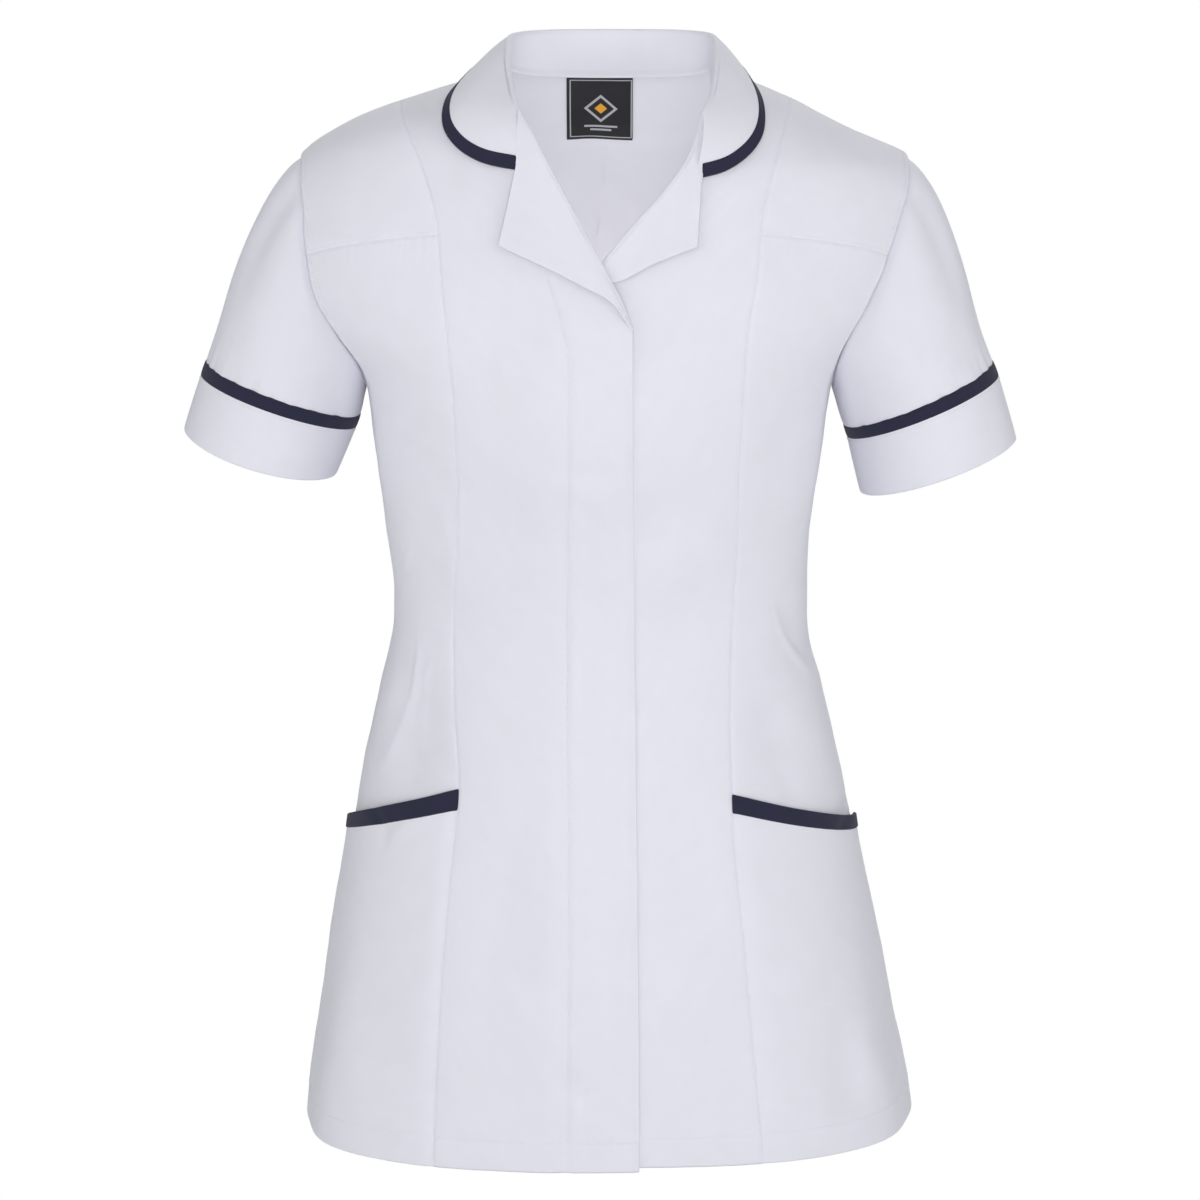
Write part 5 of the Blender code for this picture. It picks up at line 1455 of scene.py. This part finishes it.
# ---- sleeves
@dataclass
class Sleeves:
    """The set-in sleeves, each with a binding and a deep turned cuff."""

    tailor: Tailor
    rings: dict[str, Table] = sided(
        table("across height half depth lean tip", [
            (-210.6, -199.2, 52.6, 56, 19.5, 0), (-213.4, -207, 52.6, 56, 19, 0),
            (-225.6, -239.6, 51.2, 55, 16.5, 5)]),
        table("across height half depth lean tip", [
            (205, -203, 52.2, 55, 23.5, 0), (207.8, -210.6, 52.4, 55, 22.5, 0),
            (218.4, -249.6, 53.2, 55, 19.5, 1)]))
    cap: dict[str, float] = sided(0.40, 0.42)
    cap_front: float = 0.45
    cap_low: tuple[float, float] = (-0.1, 0.9)
    seat: float = 0.1           # of the head's edge from the armhole
    sunk: float = 2.2           # how much lower the head lies beside its seam
    sunk_reach: float = 7.0
    fold_strength: float = 1.6  # of every fold, over its depth in the table
    # folds: angle round the sleeve, width, depth, and the shares of the length they run over
    fold_rows: Table = tabled("turn width depth start end", [
        (0.5, 0.13, -1.6, -0.2, 0.6), (0.16, 0.12, 0.5, -0.1, 0.7), (0.92, 0.2, 0.9, 0, 0.8),
        (1.42, 0.13, -0.8, 0.25, 0.95), (0.75, 0.10, -0.7, 0.5, 0.95), (1.9, 0.22, -0.7, 0.2, 1),
        (2.5, 0.2, 0.7, 0.2, 1), (3.7, 0.22, -0.9, 0.15, 0.95), (4.6, 0.25, 0.9, 0.1, 0.9),
        (5.5, 0.22, -0.9, 0.1, 0.9), (0.33, 0.035, -0.6, 0.78, 1.2), (0.55, 0.03, -0.5, 0.84, 1.2),
        (0.78, 0.04, 0.35, 0.7, 1.2), (1, 0.035, -0.45, 0.82, 1.2), (1.28, 0.035, -0.7, 0.8, 1.2),
        (1.52, 0.03, -0.4, 0.86, 1.2), (1.75, 0.04, 0.4, 0.78, 1.2),
        (2.05, 0.035, -0.5, 0.84, 1.2), (2.4, 0.035, -0.6, 0.8, 1.2), (3.3, 0.035, -0.6, 0.8, 1.2),
        (3.9, 0.04, -0.5, 0.76, 1.2), (4.3, 0.03, -0.4, 0.84, 1.2), (4.9, 0.035, -0.6, 0.8, 1.2),
        (5.4, 0.04, 0.4, 0.8, 1.2), (5.9, 0.035, -0.5, 0.8, 1.2)])
    underarm: float = 1.0
    wall: float = 1.1
    cuff_wall: float = 1.6
    binding_wall: float = 1.9
    cuff_stitch: float = 2.2
    binding_swell: float = 0.25
    cuff_swell: float = 0.3
    head_shares: tuple[float, ...] = (0.006, 0.014, 0.026, 0.045)
    cuff_shares: tuple[float, ...] = (0.01, 0.03)
    round_steps: int = 200
    rows: int = 64
    cuff_rows: int = 24
    binding_rows: int = 9

    def armhole(self, side: Side) -> tuple[Array, Array, Array]:
        """The armhole ring: its points, their normals, and their angles round the sleeve."""
        form = self.tailor.form
        front = chain(self.tailor.seams.armhole(side))
        back = front[::-1].copy()
        back[:, 0] = side.sign * math.pi - back[:, 0]
        halves = []
        for line in (front, back):
            share = np.linspace(0.0, 1.0, self.round_steps // 2 + 1)[:-1]
            halves.append(pick(line, share, form.at(line)))
        ring = np.concatenate(halves)
        angles = np.linspace(0.0, 2 * math.pi, len(ring), endpoint=False)
        normal = unit(soften(form.normal(ring[:, 0], ring[:, 1]), 3.0, ring=True))
        return soften(form.at(ring), 1.5, ring=True), normal, angles

    def ring(self, side: Side, index: int, angles: Array) -> Array:
        """A lower ring of the sleeve: an ellipse in a leaning plane."""
        across, height, half, depth, _, tip = (row[index]
                                               for row in self.rings[side.word].values())
        return (np.array([across, 0.0, height])
                + half * np.cos(angles)[:, None] * self.outward(side, index)
                + np.sin(angles)[:, None] * np.array([0.0, -depth, -tip]))

    def axis(self, side: Side, index: int) -> Array:
        """The direction in which the sleeve runs at a ring."""
        tilt = math.radians(self.rings[side.word]["lean"][index])
        return np.array([side.sign * math.sin(tilt), 0.0, -math.cos(tilt)])

    def outward(self, side: Side, index: int) -> Array:
        """The direction across a ring, square to its axis and away from the body."""
        tilt = math.radians(self.rings[side.word]["lean"][index])
        return np.array([side.sign * math.cos(tilt), 0.0, math.sin(tilt)])

    def sleeve(self, side: Side) -> None:
        """The sleeve from the armhole to its binding: Hermite lines from ring to ring."""
        start, normal, angles = self.armhole(side)
        end, axis = self.ring(side, 0, angles), self.axis(side, 0)
        outer = self.outward(side, 0)
        swell = (np.cos(angles)[:, None] * outer * (0.5 + 0.5 * np.cos(angles))[:, None]
                 + self.cap_front * np.sin(angles)[:, None] * np.array([0.0, -1.0, 0.0]))
        low = ease(-np.cos(angles), *self.cap_low)[:, None]
        lead = unit(unit(end - start) + self.cap[side.word] * swell * (1 - low))
        start = start + self.seat * lead + self.underarm * low * normal
        size = np.linalg.norm(end - start, axis=-1, keepdims=True)
        t = spread(self.rows, ends=self.head_shares)[:, None, None]
        grid = (start * (1 + 2 * t) * (1 - t) ** 2 + end * t * t * (3 - 2 * t)
                + size * lead * t * (1 - t) ** 2 - size * axis * t * t * (1 - t))
        toward = np.broadcast_to(np.cos(angles)[:, None] * outer, grid.shape)
        out = self.folds(side, grid, angles, t[..., 0])
        run = lengths(grid, 0)
        out = out - seam_dip(run) - seam_dip(run[-1:] - run, 0.35)
        out = out - bell(run, self.sunk, self.sunk_reach) * (
            0.5 + 0.5 * np.cos(angles - 0.9)) ** 2
        shell = Shell(grid, self.wall, ring=True)
        sign = np.sign(np.mean(np.sum(shell.normals() * toward, axis=-1)))
        grid = grid + out[..., None] * shell.normals() * sign
        self.tailor.make(f"sleeve_{side.word}", f"sleeve_{side.tag}",
                         Shell(grid, self.wall, ring=True), toward, "white_cloth", Hold.HUNG)

    def folds(self, side: Side, grid: Array, angles: Array, t: Array) -> Array:
        """Soft folds down the sleeve and small pulls above its binding, as bells round it."""
        turn = angles[None]
        total = 0.2 * np.sin(grid[..., 2] / 11.0 + 2 * np.sin(turn * 3)) * np.sin(turn * 7 + 2 * t)
        shift = 0.0 if side is Side.RIGHT else 0.07
        for at, width, depth, start, end in zip(*self.fold_rows.values()):
            off = turn - at - shift - 0.05 * np.sin(4 * t + at)
            rise = ease(t, start, start + (0.3 if start < 0.5 else 1.0 - start))
            fall = 1 - ease(t, end - 0.3, end + 0.1) if end < 1.1 else 1.0
            total = total + (self.fold_strength * depth * np.exp(-0.5 * (off / width) ** 2)
                             * rise * fall)
        return total

    def tube(self, side: Side, first: int, rows: int, wall: float, swell: float) -> Array:
        """A stretch of the sleeve between two of its rings, a little swollen in the middle."""
        angles = self.armhole(side)[2]
        top, low = self.ring(side, first, angles), self.ring(side, first + 1, angles)
        t = spread(rows, ends=self.cuff_shares if rows == self.cuff_rows else ())[:, None, None]
        grid = top + (low - top) * t
        shell = Shell(grid, wall, ring=True)
        toward = np.sign(np.sum(shell.normals() * (grid - grid.mean(axis=(0, 1))), axis=-1))
        bulge = swell * (4 * t * (1 - t)) ** 0.5
        return grid + bulge * toward[..., None] * shell.normals()

    def stitch_cuff(self, cuff: Shell) -> None:
        """The stitches round the top of a cuff."""
        ring = np.roll(cuff.closed(), self.round_steps // 4, axis=1)
        across = np.concatenate([ring[:, 1:], ring[:, :1]], axis=1) - ring
        normal = unit(np.cross(np.gradient(ring, axis=0), across))
        normal *= np.sign(np.sum(normal * (ring - ring.mean(axis=(0, 1))), axis=-1,
                                 keepdims=True))
        self.tailor.stitch("cuff_stitches", ring + 0.5 * self.cuff_wall * normal, normal,
                           lengths(ring, 0) - self.cuff_stitch)

    def build(self) -> None:
        """Makes both sleeves with their bindings and cuffs."""
        for side in Side:
            self.sleeve(side)
            for kind, first, rows, wall, swell, slot, held in (
                    ("sleeve_binding", 0, self.binding_rows, self.binding_wall,
                     self.binding_swell, "navy_binding", Hold.FOLDED),
                    ("cuff", 1, self.cuff_rows, self.cuff_wall, self.cuff_swell,
                     "white_cloth", Hold.HUNG)):
                shell = Shell(self.tube(side, first, rows, wall, swell), wall, ring=True)
                toward = shell.grid - shell.grid.mean(axis=(0, 1))
                self.tailor.make(f"{kind}_{side.word}", f"{kind}_{side.tag}", shell, toward,
                                 slot, held, allowance=0.5)
                if kind == "cuff":
                    self.stitch_cuff(shell)


# ---- finishes
@dataclass
class Wiring:
    """A node tree being built: nodes by kind, with their links and values set in one call."""

    tree: bpy.types.NodeTree

    def add(self, kind: str, *feeds: object, **settings: object) -> bpy.types.NodeSocket:
        """Adds a node, and gives its inputs what feeds them in order.

        Args:
            kind: the node's type, without the "ShaderNode" that starts it.
            feeds: for each input a socket to link, a value to set, or None to leave it.
            settings: attributes of the node.

        Returns:
            The node's first output.
        """
        node = self.tree.nodes.new(f"ShaderNode{kind}")
        for name, value in settings.items():
            setattr(node, name, value)
        for socket, feed in zip(node.inputs, feeds):
            if isinstance(feed, bpy.types.NodeSocket):
                self.tree.links.new(feed, socket)
            elif feed is not None:
                socket.default_value = feed
        return node.outputs[0]

    def math(self, operation: str, *feeds: object) -> bpy.types.NodeSocket:
        """A Math node's result."""
        return self.add("Math", *feeds, operation=operation)

    def sum(self, *parts: object) -> bpy.types.NodeSocket:
        """The sum of the parts."""
        total = parts[0]
        for part in parts[1:]:
            total = self.math("ADD", total, part)
        return total


def group(name: str, inputs: dict[str, tuple[str, object]],
          outputs: dict[str, str]) -> tuple[Wiring, bpy.types.Node, bpy.types.Node]:
    """An empty node group with the sockets named.

    Args:
        name: the group's name.
        inputs: each input's socket type and default, by name.
        outputs: each output's socket type, by name.

    Returns:
        The wiring of its tree, its input node and its output node.
    """
    tree = bpy.data.node_groups.new(name, "ShaderNodeTree")
    for title, (kind, value) in inputs.items():
        socket = tree.interface.new_socket(title, in_out="INPUT", socket_type=kind)
        if value is not None:
            socket.default_value = value
    for title, kind in outputs.items():
        tree.interface.new_socket(title, in_out="OUTPUT", socket_type=kind)
    return Wiring(tree), tree.nodes.new("NodeGroupInput"), tree.nodes.new("NodeGroupOutput")


def set_inputs(node: bpy.types.Node, **values: object) -> None:
    """Sets the node's own sockets; an underscore in a name stands for a space."""
    for name, value in values.items():
        node.inputs[name.replace("_", " ")].default_value = value


@dataclass(frozen=True)
class TwillWeave:
    """The weave's relief and tone: slanting ribs broken by the yarns, and a soft rumple."""

    rumple_scale: float = 62.0      # softly crumpled patches a metre
    rumple: float = 16.0            # their height, in the ribs' heights
    tone: float = 0.05              # how much the colour varies between patches
    yarn_share: float = 0.5         # the crossing yarns' pitch, in ribs

    def build(self) -> bpy.types.NodeTree:
        """The group: inputs Cloth, Pitch and Colour; outputs Height, Colour and Roughness."""
        wiring, source, result = group(
            "twill weave",
            {"Cloth": ("NodeSocketVector", None), "Pitch": ("NodeSocketFloat", 0.0005),
             "Colour": ("NodeSocketColor", (0.8, 0.8, 0.8, 1.0)),
             "Roughness": ("NodeSocketFloat", 0.85)},
            {"Height": "NodeSocketFloat", "Colour": "NodeSocketColor",
             "Roughness": "NodeSocketFloat"})
        place = wiring.add("SeparateXYZ", source.outputs["Cloth"])
        across, down = place, place.node.outputs[1]
        pitch = source.outputs["Pitch"]
        full = 2 * math.pi
        slant = wiring.math("DIVIDE", wiring.math("ADD", across, down), pitch)
        ribs = wiring.math("SINE", wiring.math("MULTIPLY", slant, full))
        cross = wiring.math("DIVIDE", wiring.math("SUBTRACT", across, down), pitch)
        yarns = wiring.math("SINE", wiring.math("MULTIPLY", cross, full / self.yarn_share))
        patches = wiring.add("TexNoise", source.outputs["Cloth"], None, self.rumple_scale, 4.0)
        soft = wiring.math("MULTIPLY", patches, self.rumple)
        height = wiring.sum(ribs, wiring.math("MULTIPLY", yarns, 0.4), soft)
        wiring.tree.links.new(height, result.inputs["Height"])
        light = wiring.math("MULTIPLY_ADD", patches, self.tone, 1.0 - self.tone / 2)
        colour = wiring.add("VectorMath", source.outputs["Colour"], light, operation="MULTIPLY")
        wiring.tree.links.new(colour, result.inputs["Colour"])
        rough = wiring.math("MULTIPLY", source.outputs["Roughness"], light)
        wiring.tree.links.new(rough, result.inputs["Roughness"])
        return wiring.tree


@dataclass(frozen=True)
class LabelDesign:
    """A plain woven pattern for the label: a border, a diamond with an amber heart, two bars."""

    half: tuple[float, float] = (0.0203, 0.0235)    # of the border line, in metres
    middle: float = -0.0304                         # the pattern's middle down its cloth
    line: float = 0.0004
    diamond: float = 0.0100
    heart: float = 0.0042
    bars: tuple[tuple[float, float], ...] = ((0.0145, 0.0110), (0.0175, 0.0070))
    grey: tuple[float, float, float, float] = (0.42, 0.43, 0.45, 1.0)
    amber: tuple[float, float, float, float] = (0.75, 0.36, 0.03, 1.0)

    def build(self) -> bpy.types.NodeTree:
        """The group: inputs Cloth and Ground; output Colour."""
        wiring, source, result = group(
            "label design",
            {"Cloth": ("NodeSocketVector", None),
             "Ground": ("NodeSocketColor", (0.02, 0.02, 0.02, 1.0))},
            {"Colour": "NodeSocketColor"})
        place = wiring.add("SeparateXYZ", source.outputs["Cloth"])
        side = wiring.math("ABSOLUTE", place)
        rise = wiring.math("SUBTRACT", place.node.outputs[1], self.middle)
        level = wiring.math("ABSOLUTE", rise)
        edge = wiring.math("MAXIMUM", wiring.math("SUBTRACT", side, self.half[0]),
                           wiring.math("SUBTRACT", level, self.half[1]))
        border = wiring.math("LESS_THAN", wiring.math("ABSOLUTE", edge), self.line)
        reach = wiring.math("ADD", side, level)
        ring = wiring.math("LESS_THAN", wiring.math(
            "ABSOLUTE", wiring.math("SUBTRACT", reach, self.diamond)), 3 * self.line)
        heart = wiring.math("LESS_THAN", reach, self.heart)
        marks = [border, ring]
        for low, wide in self.bars:
            off = wiring.math("ABSOLUTE", wiring.math("ADD", rise, low))
            marks.append(wiring.math("MULTIPLY", wiring.math("LESS_THAN", off, 2 * self.line),
                                     wiring.math("LESS_THAN", side, wide)))
        light = wiring.math("MINIMUM", wiring.sum(*marks), 1.0)
        pale = wiring.add("MixRGB", light, source.outputs["Ground"], self.grey)
        colour = wiring.add("MixRGB", heart, pale, self.amber)
        wiring.tree.links.new(colour, result.inputs["Colour"])
        return wiring.tree


@dataclass(frozen=True)
class WovenCloth:
    """A woven cloth's finish: colour, roughness, sheen, and the size of its weave."""

    name: str
    weave: bpy.types.NodeTree
    colour: tuple[float, float, float]
    roughness: float = 0.85
    sheen: float = 0.15
    pitch: float = 0.6          # of the twill's ribs, in millimetres
    depth: float = 0.010        # of the ribs' relief, in millimetres
    design: bpy.types.NodeTree | None = None

    def build(self) -> bpy.types.Material:
        """The material: a Principled shader with the weave group on its colour and bump."""
        made = bpy.data.materials.new(self.name)
        made.use_nodes = True
        wiring = Wiring(made.node_tree)
        shader = made.node_tree.nodes["Principled BSDF"]
        set_inputs(shader, Specular_IOR_Level=0.25, Sheen_Weight=self.sheen, Sheen_Roughness=0.6)
        cloth = wiring.add("UVMap", uv_map="Cloth")
        ground: object = (*self.colour, 1.0)
        if self.design:
            ground = wiring.add("Group", node_tree=self.design)
            wiring.tree.links.new(cloth, ground.node.inputs["Cloth"])
            ground.node.inputs["Ground"].default_value = (*self.colour, 1.0)
        weave = made.node_tree.nodes.new("ShaderNodeGroup")
        weave.node_tree = self.weave
        wiring.tree.links.new(cloth, weave.inputs["Cloth"])
        set_inputs(weave, Pitch=self.pitch * MM, Roughness=self.roughness)
        if self.design:
            wiring.tree.links.new(ground, weave.inputs["Colour"])
        else:
            weave.inputs["Colour"].default_value = ground
        bump = made.node_tree.nodes.new("ShaderNodeBump")
        set_inputs(bump, Distance=self.depth * MM, Strength=1.0)
        for output, socket in (("Height", bump.inputs["Height"]),
                               ("Colour", shader.inputs["Base Color"]),
                               ("Roughness", shader.inputs["Roughness"])):
            wiring.tree.links.new(weave.outputs[output], socket)
        wiring.tree.links.new(bump.outputs["Normal"], shader.inputs["Normal"])
        return made


# ---- studio
@dataclass
class Studio:
    """The camera, the soft lights and the pale floor."""

    camera_at: tuple[float, float, float] = (-0.0033, -3.2, 0.31)
    camera_tilt: float = 78.5
    lens: float = 148.43
    sensor: float = 36.0
    floor_height: float = -0.80
    floor_reach: float = 25.0
    fill_strength: float = 0.215
    # each soft light: where it stands, its size and its power; all face the tunic's middle
    lights: dict[str, tuple[tuple[float, float, float], float, float]] = field(
        default_factory=lambda: {
            "front": ((0.0, -3.0, 0.6), 2.2, 24.5),
            "left": ((2.4, -1.4, 0.7), 1.4, 23.5),
            "right": ((-2.4, -1.4, 0.7), 1.4, 21.5),
            "low": ((0.0, -2.4, -0.6), 1.2, 12.0),
            "top": ((0.0, 0.2, 2.2), 1.6, 8.6),
            "back": ((0.35, 2.9, 1.4), 1.3, 38.0),
        })
    # the small lamp inside the neck, for the light that comes through the thin cloth
    inner_at: tuple[float, float, float] = (0.0, -0.03, -0.24)
    inner_toward: tuple[float, float, float] = (0.0, 0.10, -0.12)
    inner_size: float = 0.08
    inner_power: float = 0.20
    inner_tint: tuple[float, float, float] = (1.0, 0.98, 0.90)

    def light(self, name: str, place: tuple[float, float, float], size: float, power: float,
              target: tuple[float, float, float] = (0.0, 0.0, -0.33)) -> bpy.types.Light:
        """A square area light that faces its target."""
        data = bpy.data.lights.new(name, "AREA")
        data.energy, data.size = power, size
        made = placed(name, data)
        made.location = place
        x, y, z = np.array(target) - np.array(place)
        made.rotation_euler = (math.atan2(math.hypot(x, y), -z), 0.0, math.atan2(-x, y))
        return data

    def ground(self) -> bpy.types.Object:
        """The floor: a level square so wide that it fills the view behind the tunic."""
        x, y = self.floor_reach * np.array([[-1.0, 1.0, 1.0, -1.0], [-1.0, -1.0, 1.0, 1.0]])
        mesh = bpy.data.meshes.new("floor")
        mesh.from_pydata(np.stack([x, y, np.full(4, self.floor_height)], -1), [], [(0, 1, 2, 3)])
        return placed("floor", mesh)

    def sky(self) -> bpy.types.World:
        """An even soft light from all round, plain white where the camera sees it."""
        world = bpy.data.worlds.new("studio")
        world.use_nodes = True
        tree = world.node_tree
        light = tree.nodes["Background"]
        set_inputs(light, Color=(1.0, 1.0, 1.0, 1.0))
        path = tree.nodes.new("ShaderNodeLightPath")
        strength = tree.nodes.new("ShaderNodeMapRange")
        set_inputs(strength, To_Min=self.fill_strength, To_Max=1.0)
        tree.links.new(path.outputs["Is Camera Ray"], strength.inputs["Value"])
        tree.links.new(strength.outputs["Result"], light.inputs["Strength"])
        return world

    def paper(self) -> bpy.types.Material:
        """White paper that the camera sees as plain white, whatever falls on it."""
        made = bpy.data.materials.new("backdrop paper")
        made.use_nodes = True
        tree = made.node_tree
        shader = tree.nodes["Principled BSDF"]
        set_inputs(shader, Base_Color=(0.8, 0.8, 0.8, 1.0), Roughness=1.0)
        glow = tree.nodes.new("ShaderNodeEmission")
        set_inputs(glow, Strength=1.0)
        path = tree.nodes.new("ShaderNodeLightPath")
        mix = tree.nodes.new("ShaderNodeMixShader")
        tree.links.new(path.outputs["Is Camera Ray"], mix.inputs["Fac"])
        tree.links.new(shader.outputs["BSDF"], mix.inputs[1])
        tree.links.new(glow.outputs["Emission"], mix.inputs[2])
        tree.links.new(mix.outputs["Shader"], tree.nodes["Material Output"].inputs["Surface"])
        return made

    def build(self) -> None:
        """Sets the camera, the lights, the world and the floor."""
        scene = bpy.context.scene
        data = bpy.data.cameras.new("camera")
        data.lens, data.sensor_width = self.lens, self.sensor
        camera = placed("camera", data)
        camera.location = self.camera_at
        camera.rotation_euler = (math.radians(self.camera_tilt), 0.0, 0.0)
        scene.camera = camera
        scene.view_settings.view_transform = "Standard"
        scene.world = self.sky()
        for name, (place, size, power) in self.lights.items():
            self.light(name, place, size, power)
        inner = self.light("inner", self.inner_at, self.inner_size, self.inner_power,
                           self.inner_toward)
        inner.color = self.inner_tint
        floor = self.ground()
        floor.data.materials.append(self.paper())


def main() -> None:
    """Builds every sub-assembly in order, then the studio."""
    logging.basicConfig(level=logging.INFO, format="%(message)s")
    form = BodyForm()
    weave = TwillWeave().build()
    tailor = Tailor(
        form=form, seams=Seams(form), creases=Creases(),
        cloth=WovenCloth("white twill", weave, (0.785, 0.788, 0.862)).build(),
        binding=WovenCloth("navy binding", weave, (0.017, 0.019, 0.046), sheen=0.08).build(),
        label=WovenCloth("dark label", weave, (0.012, 0.012, 0.016), pitch=0.4,
                         design=LabelDesign().build()).build(),
        thread=WovenCloth("white thread", weave, (0.80, 0.80, 0.85), 0.6, pitch=0.3).build())
    body = Body(tailor)
    for part in (body, Pockets(tailor), NeckLabel(tailor), Lapels(tailor, body),
                 Collar(tailor), Sleeves(tailor)):
        part.build()
        log.info("%s done", type(part).__name__)
    tailor.sew()
    Studio().build()


if __name__ == "__main__":
    main()
